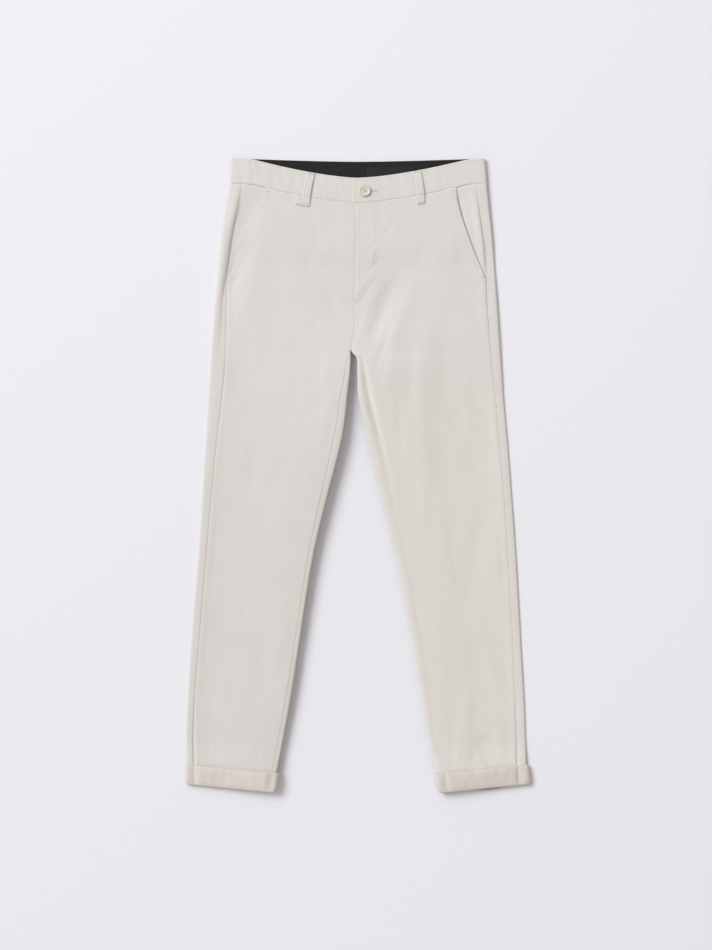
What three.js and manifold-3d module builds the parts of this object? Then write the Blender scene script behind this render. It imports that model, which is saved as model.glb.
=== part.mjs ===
// Slim chino trousers laid flat on their back, front upwards, with turned-up hems.
// Each panel is a wall of cloth. The fronts lie on the backs, which wrap a little way
// round the edges of the legs to the side seams and inseams, as the real ones do.
// Millimetres. +X is the wearer's left, +Y points to the waist and +Z is up.
// The origin is under the middle of the garment, on the surface that it lies on.
import * as THREE from "three";
import { mergeVertices } from "three/addons/utils/BufferGeometryUtils.js";
import Module from "manifold-3d";

// Driving sizes
const LENGTH = 1012; // top corner of the waistband to the lowest corner of a turn-up
const CLOTH = 1.2; // one layer of cotton twill
const BAND_CLOTH = 1.8; // waistband, two layers with interlining
const SEAM_GAP = 0.3; // between two pieces that are sewn together
const INSEAM_GAP = 0.6; // round a fold, so that the insides of the cloth stay apart too
const BAND_HEIGHT = 39;
const BELOW_BAND = BAND_HEIGHT + 1.5 * SEAM_GAP; // top of the panels
const SEAT = { lift: 2.1, from: 125, to: 175 }; // raised at the waist by the back belt loops
const TORSO_THICKNESS = 6.4; // outside of the back to outside of the front
const LEG_THICKNESS = 4.7;
const LEG_BLEND = { from: 266, to: 416 }; // where a torso's section turns into a leg's
const PUFF = { height: 1.1, width: 22 }; // how much thicker a leg is beside its folded edges
const PUFF_FROM = { low: 2.5, high: 6 }; // height above the surface below where a puff begins
const PINCH = { share: 0.2, reach: 12 }; // what a seam leaves of a puff, and how far out
const FORK_DOWN = 306.3; // the point of the crotch, below the waistband's top
const FORK_EDGE = 2.8; // how far above that point the cloth begins to round over
const FORK_OPEN = 16; // how far below it the inseams have come apart in full
const LIFT_SHARE = 0.92; // of a leg's width, over which the lift of its inner edge dies out
const CUFF_TOP = 968;
const CUFF_BOTTOM = 999;
const CUFF_CLOTH = 2.4; // two layers, turned up
const CUFF_CLEARANCE = 0.4; // between the turn-up and the leg inside it
const CUFF_PUFF = 2.6; // how far its soft roll stands off the leg, halfway up
const CUFF_OUTSET = CUFF_CLOTH + CUFF_CLEARANCE;
const LIP_HEIGHT = 1.2; // the fold at the bottom of a turn-up
const CUFF_EASE = { from: 928, to: 964 }; // where a leg rises to lie on its turn-up
const TILT_REACH = 130; // how far above the turn-up the hem's tilt begins

// Centre seam, front and back: x at the waist and at the crotch
const CENTRE = { waist: -4, fork: -10.5, bendFrom: 262 };

// How far the front of the waistband dips below its corners, and how far out that reaches
const DIP = { front: 31, back: 4.5, reachRight: 173, reachLeft: 182, power: 1.5, fadeEnd: 215 };

// The closed fly: the wearer's left side laps over the right one. inner and outer bound the
// slope at its outer edge, and fadeFrom and fadeTo the one below it.
const FLY = {
  over: 0.9,
  under: 0.8,
  inner: 25,
  outer: 36,
  fadeFrom: 250,
  fadeTo: 280,
  lap: 11,
  lapFrom: 222,
  lapTo: 244,
};
const BAND_FRONT = { end: -7.2, lap: 18, step: 0.3, inner: 27, outer: 41 }; // x of its end

// Outline of each leg with x measured outwards from x = 0: down from the waistband's top,
// fold at the side, side seam, fold at the inseam, width of back panel that shows beside
// the inseam, height of the underside at that fold.
const ROW = ["down", "outer", "side", "inner", "inset", "lift"];
const RIGHT_LEG = [
  [0, 203.5, 182.0, 0, 0, 0],
  [40, 205.5, 184.5, 0, 0, 0],
  [80, 213.0, 192.0, 0, 0, 0],
  [130, 219.0, 201.5, 0, 0, 0],
  [180, 224.0, 207.5, 0, 0, 0],
  [230, 229.0, 209.5, 0, 0, 0],
  [306, 234.5, 210.5, 10.6, 0, 7.0],
  [322, 235.5, 211.5, 11.0, 5.5, 9.0],
  [345, 236.5, 213.0, 12.6, 7.5, 11.5],
  [380, 238.5, 216.5, 16.8, 10.0, 14.0],
  [420, 241.0, 221.3, 20.9, 11.4, 15.4],
  [460, 243.5, 226.0, 28.2, 12.0, 16.0],
  [540, 248.7, 233.5, 49.0, 9.0, 15.5],
  [620, 253.9, 240.5, 68.3, 7.0, 14.0],
  [700, 260.5, 247.0, 82.2, 6.5, 13.0],
  [780, 266.7, 254.0, 94.4, 6.5, 12.0],
  [860, 271.7, 260.0, 107.0, 6.5, 11.0],
  [930, 274.4, 263.0, 121.6, 6.5, 9.0],
  [968, 272.4, 262.0, 129.6, 7.0, 7.0],
  [999, 271.6, 261.0, 134.8, 7.0, 7.0],
];
const LEFT_LEG = [
  [0, 203.4, 186.0, 0, 0, 0],
  [40, 206.4, 188.0, 0, 0, 0],
  [80, 210.3, 194.5, 0, 0, 0],
  [130, 215.5, 201.5, 0, 0, 0],
  [180, 219.5, 205.3, 0, 0, 0],
  [230, 223.3, 207.3, 0, 0, 0],
  [306, 228.2, 213.0, -10.4, 0, 7.0],
  [319, 229.0, 214.2, -1.6, 6.0, 8.5],
  [345, 230.8, 216.7, -0.8, 10.5, 10.0],
  [380, 233.1, 220.5, 0.8, 12.5, 10.5],
  [460, 240.2, 227.5, 17.0, 15.5, 9.5],
  [540, 246.2, 234.5, 36.5, 15.5, 8.0],
  [620, 252.0, 239.5, 56.5, 15.0, 7.0],
  [700, 256.8, 244.5, 73.0, 14.5, 6.5],
  [780, 261.1, 248.5, 88.5, 13.5, 6.0],
  [860, 265.8, 251.8, 102.5, 11.5, 5.5],
  [930, 268.4, 254.6, 115.6, 11.0, 5.0],
  [968, 269.2, 255.5, 126.4, 11.5, 4.5],
  [999, 272.8, 258.0, 132.4, 11.5, 4.5],
];
const SIDES = {
  right: {
    sign: -1,
    rows: RIGHT_LEG,
    reach: DIP.reachRight,
    tilt: 12,
    pocket: { top: 148.5, power: 1.08 },
  },
  left: {
    sign: 1,
    rows: LEFT_LEG,
    reach: DIP.reachLeft,
    tilt: 13,
    pocket: { top: 157.5, power: 1.4 },
  },
};
const POCKET = {
  from: 48,
  to: 194,
  end: 190,
  overlap: 14,
  drop: CLOTH + 0.7,
  slope: 12,
  lead: 0.9, // share of the mouth's width by which the slope starts early where it narrows
};

const FOLD_MARGIN = { from: 6, to: 26 }; // the folds die out this near to a folded edge
const FOLDS_BELOW = { from: 60, to: 110 }; // and this far up towards the waistband

// The largest folds of the fronts. heading is the run's angle from straight down, towards +X.
const FOLD = ["x", "down", "heading", "length", "width", "height"];
const FOLDS = [
  [38, 246, -20, 120, 10, -1.4],
  [64, 258, -22, 120, 10, 0.7],
  [122, 236, -8, 300, 22, 0.9],
  [82, 350, -3, 150, 12, -0.8],
  [104, 470, 2, 260, 16, 0.8],
  [-44, 112, 34, 100, 12, -0.5],
  [-64, 360, -4, 130, 13, -0.7],
  [-50, 415, -16, 110, 11, 0.7],
  [-166, 500, -4, 110, 16, -0.6],
  [-146, 812, -6, 130, 14, -0.8],
  [90, 720, 10, 360, 9, -0.8],
  [188, 640, -8, 220, 15, -0.7],
  [172, 905, 0, 110, 10, 0.8],
  [206, 942, 20, 60, 13, -1.0],
  [190, 204, 88, 44, 7, -0.7],
];

// The sharp creases beside the seams: down, x outwards and depth at each point of the line,
// and how wide the slopes are, away from the middle of the garment and towards it.
const CREASES = [
  {
    side: "right",
    away: 7,
    towards: 6,
    line: [
      [44, 185.5, 0],
      [80, 191.6, 1.8],
      [130, 201.2, 2.6],
      [180, 208.6, 2.6],
      [225, 216.0, 2.2],
      [275, 219.4, 1.4],
      [330, 223.5, 0],
    ],
  },
  {
    side: "left",
    away: 3,
    towards: 4,
    line: [
      [50, 189.0, 0],
      [90, 195.5, 1.3],
      [140, 202.0, 1.6],
      [185, 205.5, 1.4],
      [240, 207.0, 0],
    ],
  },
  {
    side: "left",
    away: 3,
    towards: 5,
    line: [
      [312, 6.0, 0],
      [345, 12.0, 1.6],
      [400, 22.0, 2.0],
      [458, 38.0, 1.7],
      [540, 55.0, 0.6],
      [700, 89.0, 0.4],
      [900, 129.0, 0],
    ],
  },
  {
    side: "right",
    away: 2.5,
    towards: 2.5,
    line: [
      [880, 261.4, 0],
      [925, 263.0, 0.8],
      [955, 262.4, 1.3],
      [967, 262.0, 0],
    ],
  },
];

// Small pieces
const LOOP = {
  width: 13,
  thick: 1.2,
  edge: 0.6, // from the waistband's top edge
  below: 9, // past its lower seam
  arch: 1.3,
  backArch: 0.6,
  round: 0.7, // 1 is a sine's arch, and less is a squarer one
  lean: 0.16, // the lower end slopes with the waistband
  tabFrom: 0.78, // the turned lower end is wider from here on
};
const FRONT_LOOPS = [
  { name: "belt_loop_front_right", side: "right", top: 73.5, bottom: 83.5, tab: 12 },
  { name: "belt_loop_front_left", side: "left", top: 93, bottom: 100.5, tab: 0 },
];
const BACK_LOOPS = [
  { name: "belt_loop_back_right", x: -112 },
  { name: "belt_loop_centre_back", x: -4 },
  { name: "belt_loop_back_left", x: 104 },
];
const LINING = { halfWidth: 193, thick: 1.0, height: 38 };
const LABEL = { from: 15, to: 90, top: 13, height: 24, thick: 0.6 };
const BUTTON = { x: 11.4, down: 51, radius: 9, thick: 3, rim: 1.6, hole: 0.9, holeOut: 2.5 };

const smooth = (low, high, v) => THREE.MathUtils.smoothstep(v, low, high);
const mix = THREE.MathUtils.lerp;

// Zero below -0.15 and v above 0.15, with a smooth bend between them
const softFloor = (v) => (Math.abs(v) < 0.15 ? (v + 0.15) ** 2 / 0.6 : Math.max(v, 0));

// One column of a leg's table at any height, on a smooth curve through its rows
function column(side, name, down) {
  const rows = side.rows;
  const c = ROW.indexOf(name);
  let k = rows.findIndex((r) => r[0] > down) - 1;
  if (k < 0) k = down < rows[0][0] ? 0 : rows.length - 2;
  const [a, b] = [rows[k], rows[k + 1]];
  const slope = (i) => {
    const [p, q] = [rows[Math.max(i - 1, 0)], rows[Math.min(i + 1, rows.length - 1)]];
    return (q[c] - p[c]) / (q[0] - p[0]);
  };
  const span = b[0] - a[0];
  const t = THREE.MathUtils.clamp((down - a[0]) / span, 0, 1);
  const [t2, t3] = [t * t, t * t * t];
  return (
    a[c] * (2 * t3 - 3 * t2 + 1) +
    b[c] * (3 * t2 - 2 * t3) +
    span * (slope(k) * (t3 - 2 * t2 + t) + slope(k + 1) * (t3 - t2))
  );
}

// Outward x of the centre seam on one side, half a seam gap from the seam itself
function centre(side, down) {
  const x = mix(CENTRE.waist, CENTRE.fork, smooth(CENTRE.bendFrom, FORK_DOWN, down));
  return side.sign * x + SEAM_GAP / 2;
}

// What a column of a crease's line is at a height, and 0 beyond its ends
function along(line, columnOf, down) {
  const k = line.findIndex((row) => row[0] > down);
  if (k < 1) return 0;
  const [a, b] = [line[k - 1], line[k]];
  return mix(a[columnOf], b[columnOf], (down - a[0]) / (b[0] - a[0]));
}

// How far the creases sink the front at a place on it
function creases(side, out, down) {
  return CREASES.reduce((sum, crease) => {
    if (SIDES[crease.side] !== side) return sum;
    const from = out - along(crease.line, 1, down);
    const width = from > 0 ? crease.away : crease.towards;
    return sum + along(crease.line, 2, down) * Math.exp(-((from / width) ** 2));
  }, 0);
}

// Height that the folds add to the front at a place on it
function folds(x, down) {
  return FOLDS.reduce((sum, row) => {
    const f = Object.fromEntries(FOLD.map((key, i) => [key, row[i]]));
    const heading = THREE.MathUtils.degToRad(f.heading);
    const [dx, dd] = [x - f.x, down - f.down];
    const run = dx * Math.sin(heading) + dd * Math.cos(heading);
    const across = dx * Math.cos(heading) - dd * Math.sin(heading);
    const fade = 1 - smooth(0.5, 1, (2 * Math.abs(run)) / f.length);
    return sum + f.height * fade * Math.exp(-((across / f.width) ** 2));
  }, 0);
}

// The closed fly lifts the left front and lets the right one in under it.
function flyStep(side, out, down) {
  const closed = 1 - smooth(FLY.fadeFrom, FLY.fadeTo, down);
  const near = 1 - smooth(FLY.inner, FLY.outer, Math.abs(out));
  return (side.sign > 0 ? FLY.over : -FLY.under) * closed * near;
}

// Outside of the back, which is the underside
function bottomAt(side, out, down) {
  const seat = SEAT.lift * (1 - smooth(SEAT.from, SEAT.to, down));
  const inCuff = CUFF_OUTSET * smooth(CUFF_EASE.from, CUFF_EASE.to, down);
  const inner = column(side, "inner", down);
  const reach = LIFT_SHARE * (column(side, "outer", down) - inner);
  const rise = 1 - smooth(0, reach, out - inner);
  return seat + inCuff + Math.max(column(side, "lift", down), 0) * rise;
}

// Outside of the front
function topAt(side, out, down) {
  const leg = smooth(LEG_BLEND.from, LEG_BLEND.to, down);
  const fromOuter = column(side, "outer", down) - out;
  const fromInner = Math.abs(out - column(side, "inner", Math.max(down, FORK_DOWN)));
  const puff = Math.exp(-fromOuter / PUFF.width) + Math.exp(-fromInner / PUFF.width);
  const thick = mix(TORSO_THICKNESS, LEG_THICKNESS + PUFF.height * puff, leg);
  const clearOf = (distance) => smooth(FOLD_MARGIN.from, FOLD_MARGIN.to, distance);
  const inside = clearOf(fromOuter) * mix(1, clearOf(fromInner), leg);
  const below = smooth(FOLDS_BELOW.from, FOLDS_BELOW.to, down);
  const above = folds(side.sign * out, down) * inside * below - creases(side, out, down);
  return bottomAt(side, out, down) + thick + above + flyStep(side, out, down);
}

// How far a place is carried down by the dip of the waist and the tilt of the turn-ups
function carried(side, out, down, isFront) {
  const reach = side.reach;
  const dip = isFront ? DIP.front : DIP.back;
  const hang = softFloor(1 - (Math.abs(out) / reach) ** DIP.power);
  const outer = column(side, "outer", CUFF_TOP);
  const inner = column(side, "inner", CUFF_TOP);
  const across = THREE.MathUtils.clamp((outer - out) / (outer - inner), 0, 1);
  return (
    dip * hang * (1 - smooth(BAND_HEIGHT, DIP.fadeEnd, down)) +
    side.tilt * across * smooth(CUFF_TOP - TILT_REACH, CUFF_TOP, down)
  );
}

function place(side, p, down) {
  const y = LENGTH / 2 - down - carried(side, p.out, down, p.isFront);
  return new THREE.Vector3(side.sign * p.out, y, p.z);
}

// Edge of the front panel: the slanted pocket mouth, then the side seam
function frontEdge(side, down) {
  const seam = column(side, "side", down) - SEAM_GAP / 2;
  if (down >= POCKET.to) return seam;
  const share = THREE.MathUtils.clamp((down - POCKET.from) / (POCKET.to - POCKET.from), 0, 1);
  const bottom = column(side, "side", POCKET.to) - SEAM_GAP / 2;
  return mix(side.pocket.top, bottom, share ** side.pocket.power);
}

// The fold at one edge of a section: its centre and radius
function foldAt(side, down, edge) {
  const x = column(side, edge, down);
  const inward = edge === "outer" ? -1 : 1;
  let radius = TORSO_THICKNESS / 2;
  let low = 0;
  for (let pass = 0; pass < 4; pass++) {
    low = bottomAt(side, x + inward * radius, down);
    radius = (topAt(side, x + inward * radius, down) - low) / 2;
  }
  return { x: x + inward * radius, z: low + radius, radius };
}

// Length of cloth from the middle of the inner fold up to the inseam
function inseamRun(side, down, fold) {
  const inset = column(side, "inset", down);
  const full = (fold.radius * Math.PI) / 2 + Math.max(inset - fold.radius, 0);
  return full * smooth(FORK_DOWN, FORK_DOWN + FORK_OPEN, down);
}

const steps = (from, to, count) =>
  Array.from({ length: count + 1 }, (_, i) => mix(from, to, i / count));

// The back of one leg in a section across it, from the side seam round to the inseam
// or, above the crotch, to the centre seam. Points {out, z, isFront}.
function backPath(side, down) {
  const outer = foldAt(side, down, "outer");
  const seam = column(side, "side", down) + SEAM_GAP / 2;
  const path = steps(seam, outer.x, 24).map((out) => ({
    out,
    z: topAt(side, out, down),
    isFront: true,
  }));
  for (const a of steps(0, Math.PI, 24).slice(1)) {
    const out = outer.x + outer.radius * Math.sin(a);
    path.push({ out, z: outer.z + outer.radius * Math.cos(a), isFront: a < 1.5 });
  }
  const isLeg = down >= FORK_DOWN;
  const inner = isLeg ? foldAt(side, down, "inner") : null;
  const end = isLeg ? inner.x : centre(side, down);
  for (const out of steps(outer.x, end, 44).slice(1))
    path.push({ out, z: bottomAt(side, out, down), isFront: false });
  if (!isLeg) return path;
  const run = inseamRun(side, down, inner) - INSEAM_GAP / 2;
  const turn = Math.min(Math.PI, Math.PI / 2 + run / inner.radius);
  for (const a of steps(0, turn, 24).slice(1)) {
    const out = inner.x - inner.radius * Math.sin(a);
    path.push({ out, z: inner.z - inner.radius * Math.cos(a), isFront: false });
  }
  const beyond = run - (inner.radius * Math.PI) / 2;
  if (beyond > 0)
    for (const out of steps(inner.x, inner.x + beyond, 16).slice(1))
      path.push({ out, z: topAt(side, out, down), isFront: false });
  return path;
}

// The front of one leg in a section, from the pocket or side seam in to the inseam
function frontPath(side, down) {
  const isLeg = down >= FORK_DOWN;
  const inner = isLeg ? foldAt(side, down, "inner") : null;
  const run = isLeg ? inseamRun(side, down, inner) + INSEAM_GAP / 2 : 0;
  const beyond = isLeg ? run - (inner.radius * Math.PI) / 2 : 0;
  let end = isLeg ? inner.x + Math.max(beyond, 0) : centre(side, down);
  if (!isLeg && side.sign < 0) end -= FLY.lap * (1 - smooth(FLY.lapFrom, FLY.lapTo, down));
  const path = steps(frontEdge(side, down), end, 240).map((out) => ({
    out,
    z: topAt(side, out, down),
    isFront: true,
  }));
  if (isLeg && beyond < 0)
    for (const a of steps(Math.PI, Math.PI / 2 + run / inner.radius, 24).slice(1)) {
      const out = inner.x - inner.radius * Math.sin(a);
      path.push({ out, z: inner.z - inner.radius * Math.cos(a), isFront: true });
    }
  return path;
}

// How far along a section each of its points is
function marksOf(path) {
  const marks = [0];
  for (let i = 1; i < path.length; i++) {
    const [a, b] = [path[i - 1], path[i]];
    marks.push(marks[i - 1] + Math.hypot(b.out - a.out, b.z - a.z));
  }
  return marks;
}

// A section moved by depth, towards the inside of the garment where depth is positive.
// puff moves it out as well, less so at a seam, and not where it lies on the surface below.
function inset(path, depth, turn, puff = 0) {
  const marks = marksOf(path);
  return path.map((p, i) => {
    const [a, b] = [path[Math.max(i - 1, 0)], path[Math.min(i + 1, path.length - 1)]];
    const length = Math.hypot(b.out - a.out, b.z - a.z);
    const fromSeam = Math.min(marks[i], marks.at(-1) - marks[i]);
    const free = mix(PINCH.share, 1, smooth(0, PINCH.reach, fromSeam));
    const move = turn * (depth - puff * free * smooth(PUFF_FROM.low, PUFF_FROM.high, p.z));
    return {
      out: p.out + (move * (b.z - a.z)) / length,
      z: p.z - (move * (b.out - a.out)) / length,
      isFront: p.isFront,
    };
  });
}

// Points of a section at stated lengths along it. ruler is the section that is measured.
function sample(path, ruler, lengths) {
  const marks = marksOf(ruler);
  const total = marks.at(-1);
  return lengths(total).map((s) => {
    let k = marks.findIndex((m) => m >= s - 1e-6);
    if (k < 1) k = k < 0 ? marks.length - 1 : 1;
    const t = THREE.MathUtils.clamp((s - marks[k - 1]) / (marks[k] - marks[k - 1]), 0, 1);
    const [a, b] = [path[k - 1], path[k]];
    const isFront = t < 0.5 ? a.isFront : b.isFront;
    return { out: mix(a.out, b.out, t), z: mix(a.z, b.z, t), isFront };
  });
}

// Where a panel's columns run: close together near its folded edges, wider between them
const END_STOPS = [0, 2.5, 5, 7.5, 10, 13, 18, 27];
const fromEnd = (total, stops) => stops.map((s) => total - s).reverse();

function backColumns(side, down) {
  const outer = foldAt(side, down, "outer");
  const seamToFold = outer.x - column(side, "side", down) - SEAM_GAP / 2;
  return (total) => {
    const round = steps(seamToFold, seamToFold + Math.PI * outer.radius, 5);
    const flat = steps(round.at(-1), total - END_STOPS.at(-1), 6).slice(1, -1);
    return [0, seamToFold / 2, ...round, ...flat, ...fromEnd(total, END_STOPS)];
  };
}

const FRONT_END = END_STOPS.slice(0, 4);
const frontColumns = () => (total) => [
  0,
  4,
  ...steps(10, total - FRONT_END.at(-1), 12).slice(0, -1),
  ...fromEnd(total, FRONT_END),
];

// A closed body between two grids of points with as many rows and columns
function closedBody(outerRows, innerRows) {
  const rows = outerRows.length;
  const cols = outerRows[0].length;
  const positions = [...outerRows.flat(), ...innerRows.flat()].flatMap((p) => [p.x, p.y, p.z]);
  const at = (layer, i, j) => layer * rows * cols + i * cols + j;
  const index = [];
  const quad = (a, b, c, d) => index.push(a, b, c, a, c, d);
  for (let i = 0; i + 1 < rows; i++)
    for (let j = 0; j + 1 < cols; j++) {
      quad(at(0, i, j), at(0, i + 1, j), at(0, i + 1, j + 1), at(0, i, j + 1));
      quad(at(1, i, j), at(1, i, j + 1), at(1, i + 1, j + 1), at(1, i + 1, j));
    }
  for (let j = 0; j + 1 < cols; j++) {
    quad(at(0, 0, j), at(0, 0, j + 1), at(1, 0, j + 1), at(1, 0, j));
    const k = rows - 1;
    quad(at(0, k, j + 1), at(0, k, j), at(1, k, j), at(1, k, j + 1));
  }
  for (let i = 0; i + 1 < rows; i++) {
    quad(at(0, i + 1, 0), at(0, i, 0), at(1, i, 0), at(1, i + 1, 0));
    const k = cols - 1;
    quad(at(0, i, k), at(0, i + 1, k), at(1, i + 1, k), at(1, i, k));
  }
  return facingOut(positions, index);
}

// A geometry whose faces all point out, whichever way round its points were made
function facingOut(positions, index) {
  let volume = 0;
  const [a, b, c] = [new THREE.Vector3(), new THREE.Vector3(), new THREE.Vector3()];
  for (let i = 0; i < index.length; i += 3) {
    a.fromArray(positions, 3 * index[i]);
    b.fromArray(positions, 3 * index[i + 1]);
    c.fromArray(positions, 3 * index[i + 2]);
    volume += a.dot(b.cross(c));
  }
  if (volume < 0)
    for (let i = 0; i < index.length; i += 3)
      [index[i + 1], index[i + 2]] = [index[i + 2], index[i + 1]];
  const geometry = new THREE.BufferGeometry();
  geometry.setAttribute("position", new THREE.Float32BufferAttribute(positions, 3));
  geometry.setIndex(index);
  geometry.computeVertexNormals();
  return geometry;
}

// A cloth wall: one section for each height in downs, with cloth of the given thickness
function panel(side, downs, pathAt, columnsAt, thickness, turn) {
  const layer = (inwards) =>
    downs.map((down) => {
      const path = pathAt(side, down);
      const moved = inset(path, inwards, turn);
      return sample(moved, path, columnsAt(side, down)).map((p) => place(side, p, down));
    });
  return closedBody(layer(0), layer(thickness));
}

const TORSO_ROWS = [BELOW_BAND, 52, 72, 98, 124, 150, 176, 202, 228, 254, 278, 295];
const LEG_ROWS = [
  310, 316, 325, 340, 360, 390, 425, 465, 510, 560, 615, 670, 725, 780, 835, 885, 925, 948,
];
const ROWS = [
  ...TORSO_ROWS,
  FORK_DOWN - FORK_EDGE,
  FORK_DOWN,
  ...LEG_ROWS,
  960,
  CUFF_TOP,
  CUFF_BOTTOM - LIP_HEIGHT - SEAM_GAP,
];

const backPanel = (side) => panel(side, ROWS, backPath, backColumns, CLOTH, 1);

const frontPanel = (side) => panel(side, ROWS, frontPath, frontColumns, CLOTH, -1);

// Cloth behind the slanted pocket mouth, out to the side seam
function pocketFacing(side) {
  const downs = steps(BELOW_BAND, POCKET.end, 8);
  const pathAt = (s, down) => {
    const outer = column(s, "side", down) - 2.5 * SEAM_GAP;
    const mouth = frontEdge(s, down);
    const early = Math.max(POCKET.slope - POCKET.lead * (outer - mouth), 0);
    return steps(outer, mouth - POCKET.overlap, 16).map((out) => ({
      out,
      z: topAt(s, out, down) - POCKET.drop * Math.min((outer - out + early) / POCKET.slope, 1),
      isFront: true,
    }));
  };
  return panel(side, downs, pathAt, () => (total) => steps(0, total, 5), CLOTH, -1);
}

// Half of the waistband, from the centre back round the side to the front
function waistband(side) {
  const downs = [0, 1.5, 5, BAND_HEIGHT / 2, BAND_HEIGHT];
  const { end, lap, step } = BAND_FRONT;
  const frontEnd = side.sign > 0 ? end : -end + SEAM_GAP - lap;
  const pathAt = (s, down) => {
    const outer = foldAt(s, down, "outer");
    const path = steps(centre(s, down), outer.x, 20).map((out) => ({
      out,
      z: bottomAt(s, out, down),
      isFront: false,
    }));
    for (const a of steps(Math.PI, 0, 12).slice(1)) {
      const out = outer.x + outer.radius * Math.sin(a);
      path.push({ out, z: outer.z + outer.radius * Math.cos(a), isFront: a < 1.5 });
    }
    for (const out of steps(outer.x, frontEnd, 40).slice(1)) {
      const near = 1 - smooth(BAND_FRONT.inner, BAND_FRONT.outer, Math.abs(out));
      path.push({ out, z: topAt(s, out, down) + s.sign * step * near, isFront: true });
    }
    return path;
  };
  const columnsAt = (s, down) => (total) => {
    const outer = foldAt(s, down, "outer");
    const flat = outer.x - centre(s, down);
    const round = steps(flat, flat + Math.PI * outer.radius, 6);
    return [...steps(0, flat, 8).slice(0, -1), ...round, ...steps(round.at(-1), total, 16).slice(1)];
  };
  return panel(side, downs, pathAt, columnsAt, BAND_CLOTH, -1);
}

// Section through a turn-up, as a loop: depth into the leg's wall, height above the hem
// and share of the puff
const TURN_UP = CUFF_BOTTOM - CUFF_TOP;
const HOOK = [
  [0.7 - CUFF_OUTSET, TURN_UP, 0.4],
  [-CUFF_OUTSET, TURN_UP - 1.4, 0.55],
  [-CUFF_OUTSET, TURN_UP - 6, 0.9],
  [-CUFF_OUTSET, TURN_UP / 2, 1],
  [-CUFF_OUTSET, 7, 0.85],
  [-CUFF_OUTSET, 2.4, 0.45],
  [0.8 - CUFF_OUTSET, 0, 0],
  [CLOTH, 0, 0],
  [CLOTH, LIP_HEIGHT, 0],
  [-CUFF_CLEARANCE, LIP_HEIGHT, 0],
  [-CUFF_CLEARANCE, 7, 0.7],
  [-CUFF_CLEARANCE, TURN_UP / 2, 1],
  [-CUFF_CLEARANCE, TURN_UP - 6, 0.8],
  [-CUFF_CLEARANCE, TURN_UP, 0.2],
];

// A turned-up hem: the hook run along the leg's own sections
function cuff(side, pathAt, columnsAt, turn) {
  const lines = HOOK.map(([depth, height, share]) => {
    const down = CUFF_BOTTOM - height;
    const path = pathAt(side, down);
    const moved = inset(path, depth, turn, share * CUFF_PUFF);
    return sample(moved, path, columnsAt(side, down)).map((p) =>
      place(side, { ...p, z: Math.max(p.z, 0) }, down),
    );
  });
  const flat = HOOK.map(([depth, height, share]) => new THREE.Vector2(depth - share, height));
  return tube(lines, flat);
}

// A closed body from lines of points, each joined to the next and the last to the first.
// flat is the loop that they make at an end, drawn in a plane.
function tube(lines, flat) {
  const length = lines[0].length;
  const positions = lines.flat().flatMap((p) => [p.x, p.y, p.z]);
  const index = [];
  for (let i = 0; i < lines.length; i++) {
    const [here, next] = [i * length, ((i + 1) % lines.length) * length];
    for (let j = 0; j + 1 < length; j++) {
      index.push(here + j, next + j, next + j + 1);
      index.push(here + j, next + j + 1, here + j + 1);
    }
  }
  for (const corners of THREE.ShapeUtils.triangulateShape(flat, [])) {
    const [a, b, c] = corners.sort((p, q) => p - q).map((i) => i * length);
    const end = length - 1;
    index.push(c, b, a, a + end, b + end, c + end);
  }
  return facingOut(positions, index);
}

// A strip that lies on the garment: rows of {out, down, low, high} from edge to edge
function strip(side, rows) {
  const layer = (key) =>
    rows.map((row) =>
      row.map((p) => new THREE.Vector3(side.sign * p.out, LENGTH / 2 - p.down, p[key])),
    );
  return closedBody(layer("high"), layer("low"));
}

// Where the front's surface is at a place that is already carried down by the dip
function frontSurface(side, out, down) {
  let d = down;
  for (let pass = 0; pass < 6; pass++) d = down - carried(side, out, d, true);
  return topAt(side, out, Math.max(d, 0));
}

// A belt loop on the front: a strip that arches over the waistband, sewn down at both ends
function frontLoop(spec) {
  const side = SIDES[spec.side];
  const half = LOOP.width / 2;
  const top = carried(side, spec.top, 0, true) + LOOP.edge;
  const bandBottom = carried(side, spec.bottom, BAND_HEIGHT, true) + BAND_HEIGHT;
  const rows = steps(0, 1, 10).map((t) => {
    const middle = mix(spec.top, spec.bottom, t);
    const wide = t > LOOP.tabFrom ? spec.tab : 0;
    const rise = SEAM_GAP + LOOP.arch * Math.sin(Math.PI * t) ** LOOP.round;
    return [half + wide, half / 3, -half / 3, -half].map((offset) => {
      const out = middle + offset;
      const down = mix(top, bandBottom + LOOP.below, t) - LOOP.lean * offset;
      const low = frontSurface(side, out, down) + rise;
      return { out, down, low, high: low + LOOP.thick };
    });
  });
  return strip(side, rows);
}

function backLoop(x) {
  const side = SIDES.left;
  const half = LOOP.width / 2;
  const top = carried(side, x, 0, false) + LOOP.edge;
  const bandBottom = carried(side, x, BAND_HEIGHT, false) + BAND_HEIGHT;
  const rows = steps(0, 1, 8).map((t) => {
    const rise = LOOP.backArch * Math.sin(Math.PI * t) ** LOOP.round;
    const high = SEAT.lift - SEAM_GAP - rise;
    const down = mix(top, bandBottom + LOOP.below, t);
    return steps(-half, half, 2).map((offset) => ({
      out: x + offset,
      down,
      low: high - LOOP.thick,
      high,
    }));
  });
  return strip(side, rows);
}

// Black tape inside the back of the waistband, up to its top edge
function lining() {
  const columns = steps(-LINING.halfWidth, LINING.halfWidth, 16);
  const low = SEAT.lift + BAND_CLOTH + SEAM_GAP;
  const rows = steps(0, LINING.height, 2).map((height) =>
    columns.map((x) => {
      const side = x < 0 ? SIDES.right : SIDES.left;
      const down = height + carried(side, Math.abs(x), 0, false);
      return { out: x, down, low, high: low + LINING.thick };
    }),
  );
  return strip(SIDES.left, rows);
}

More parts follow.
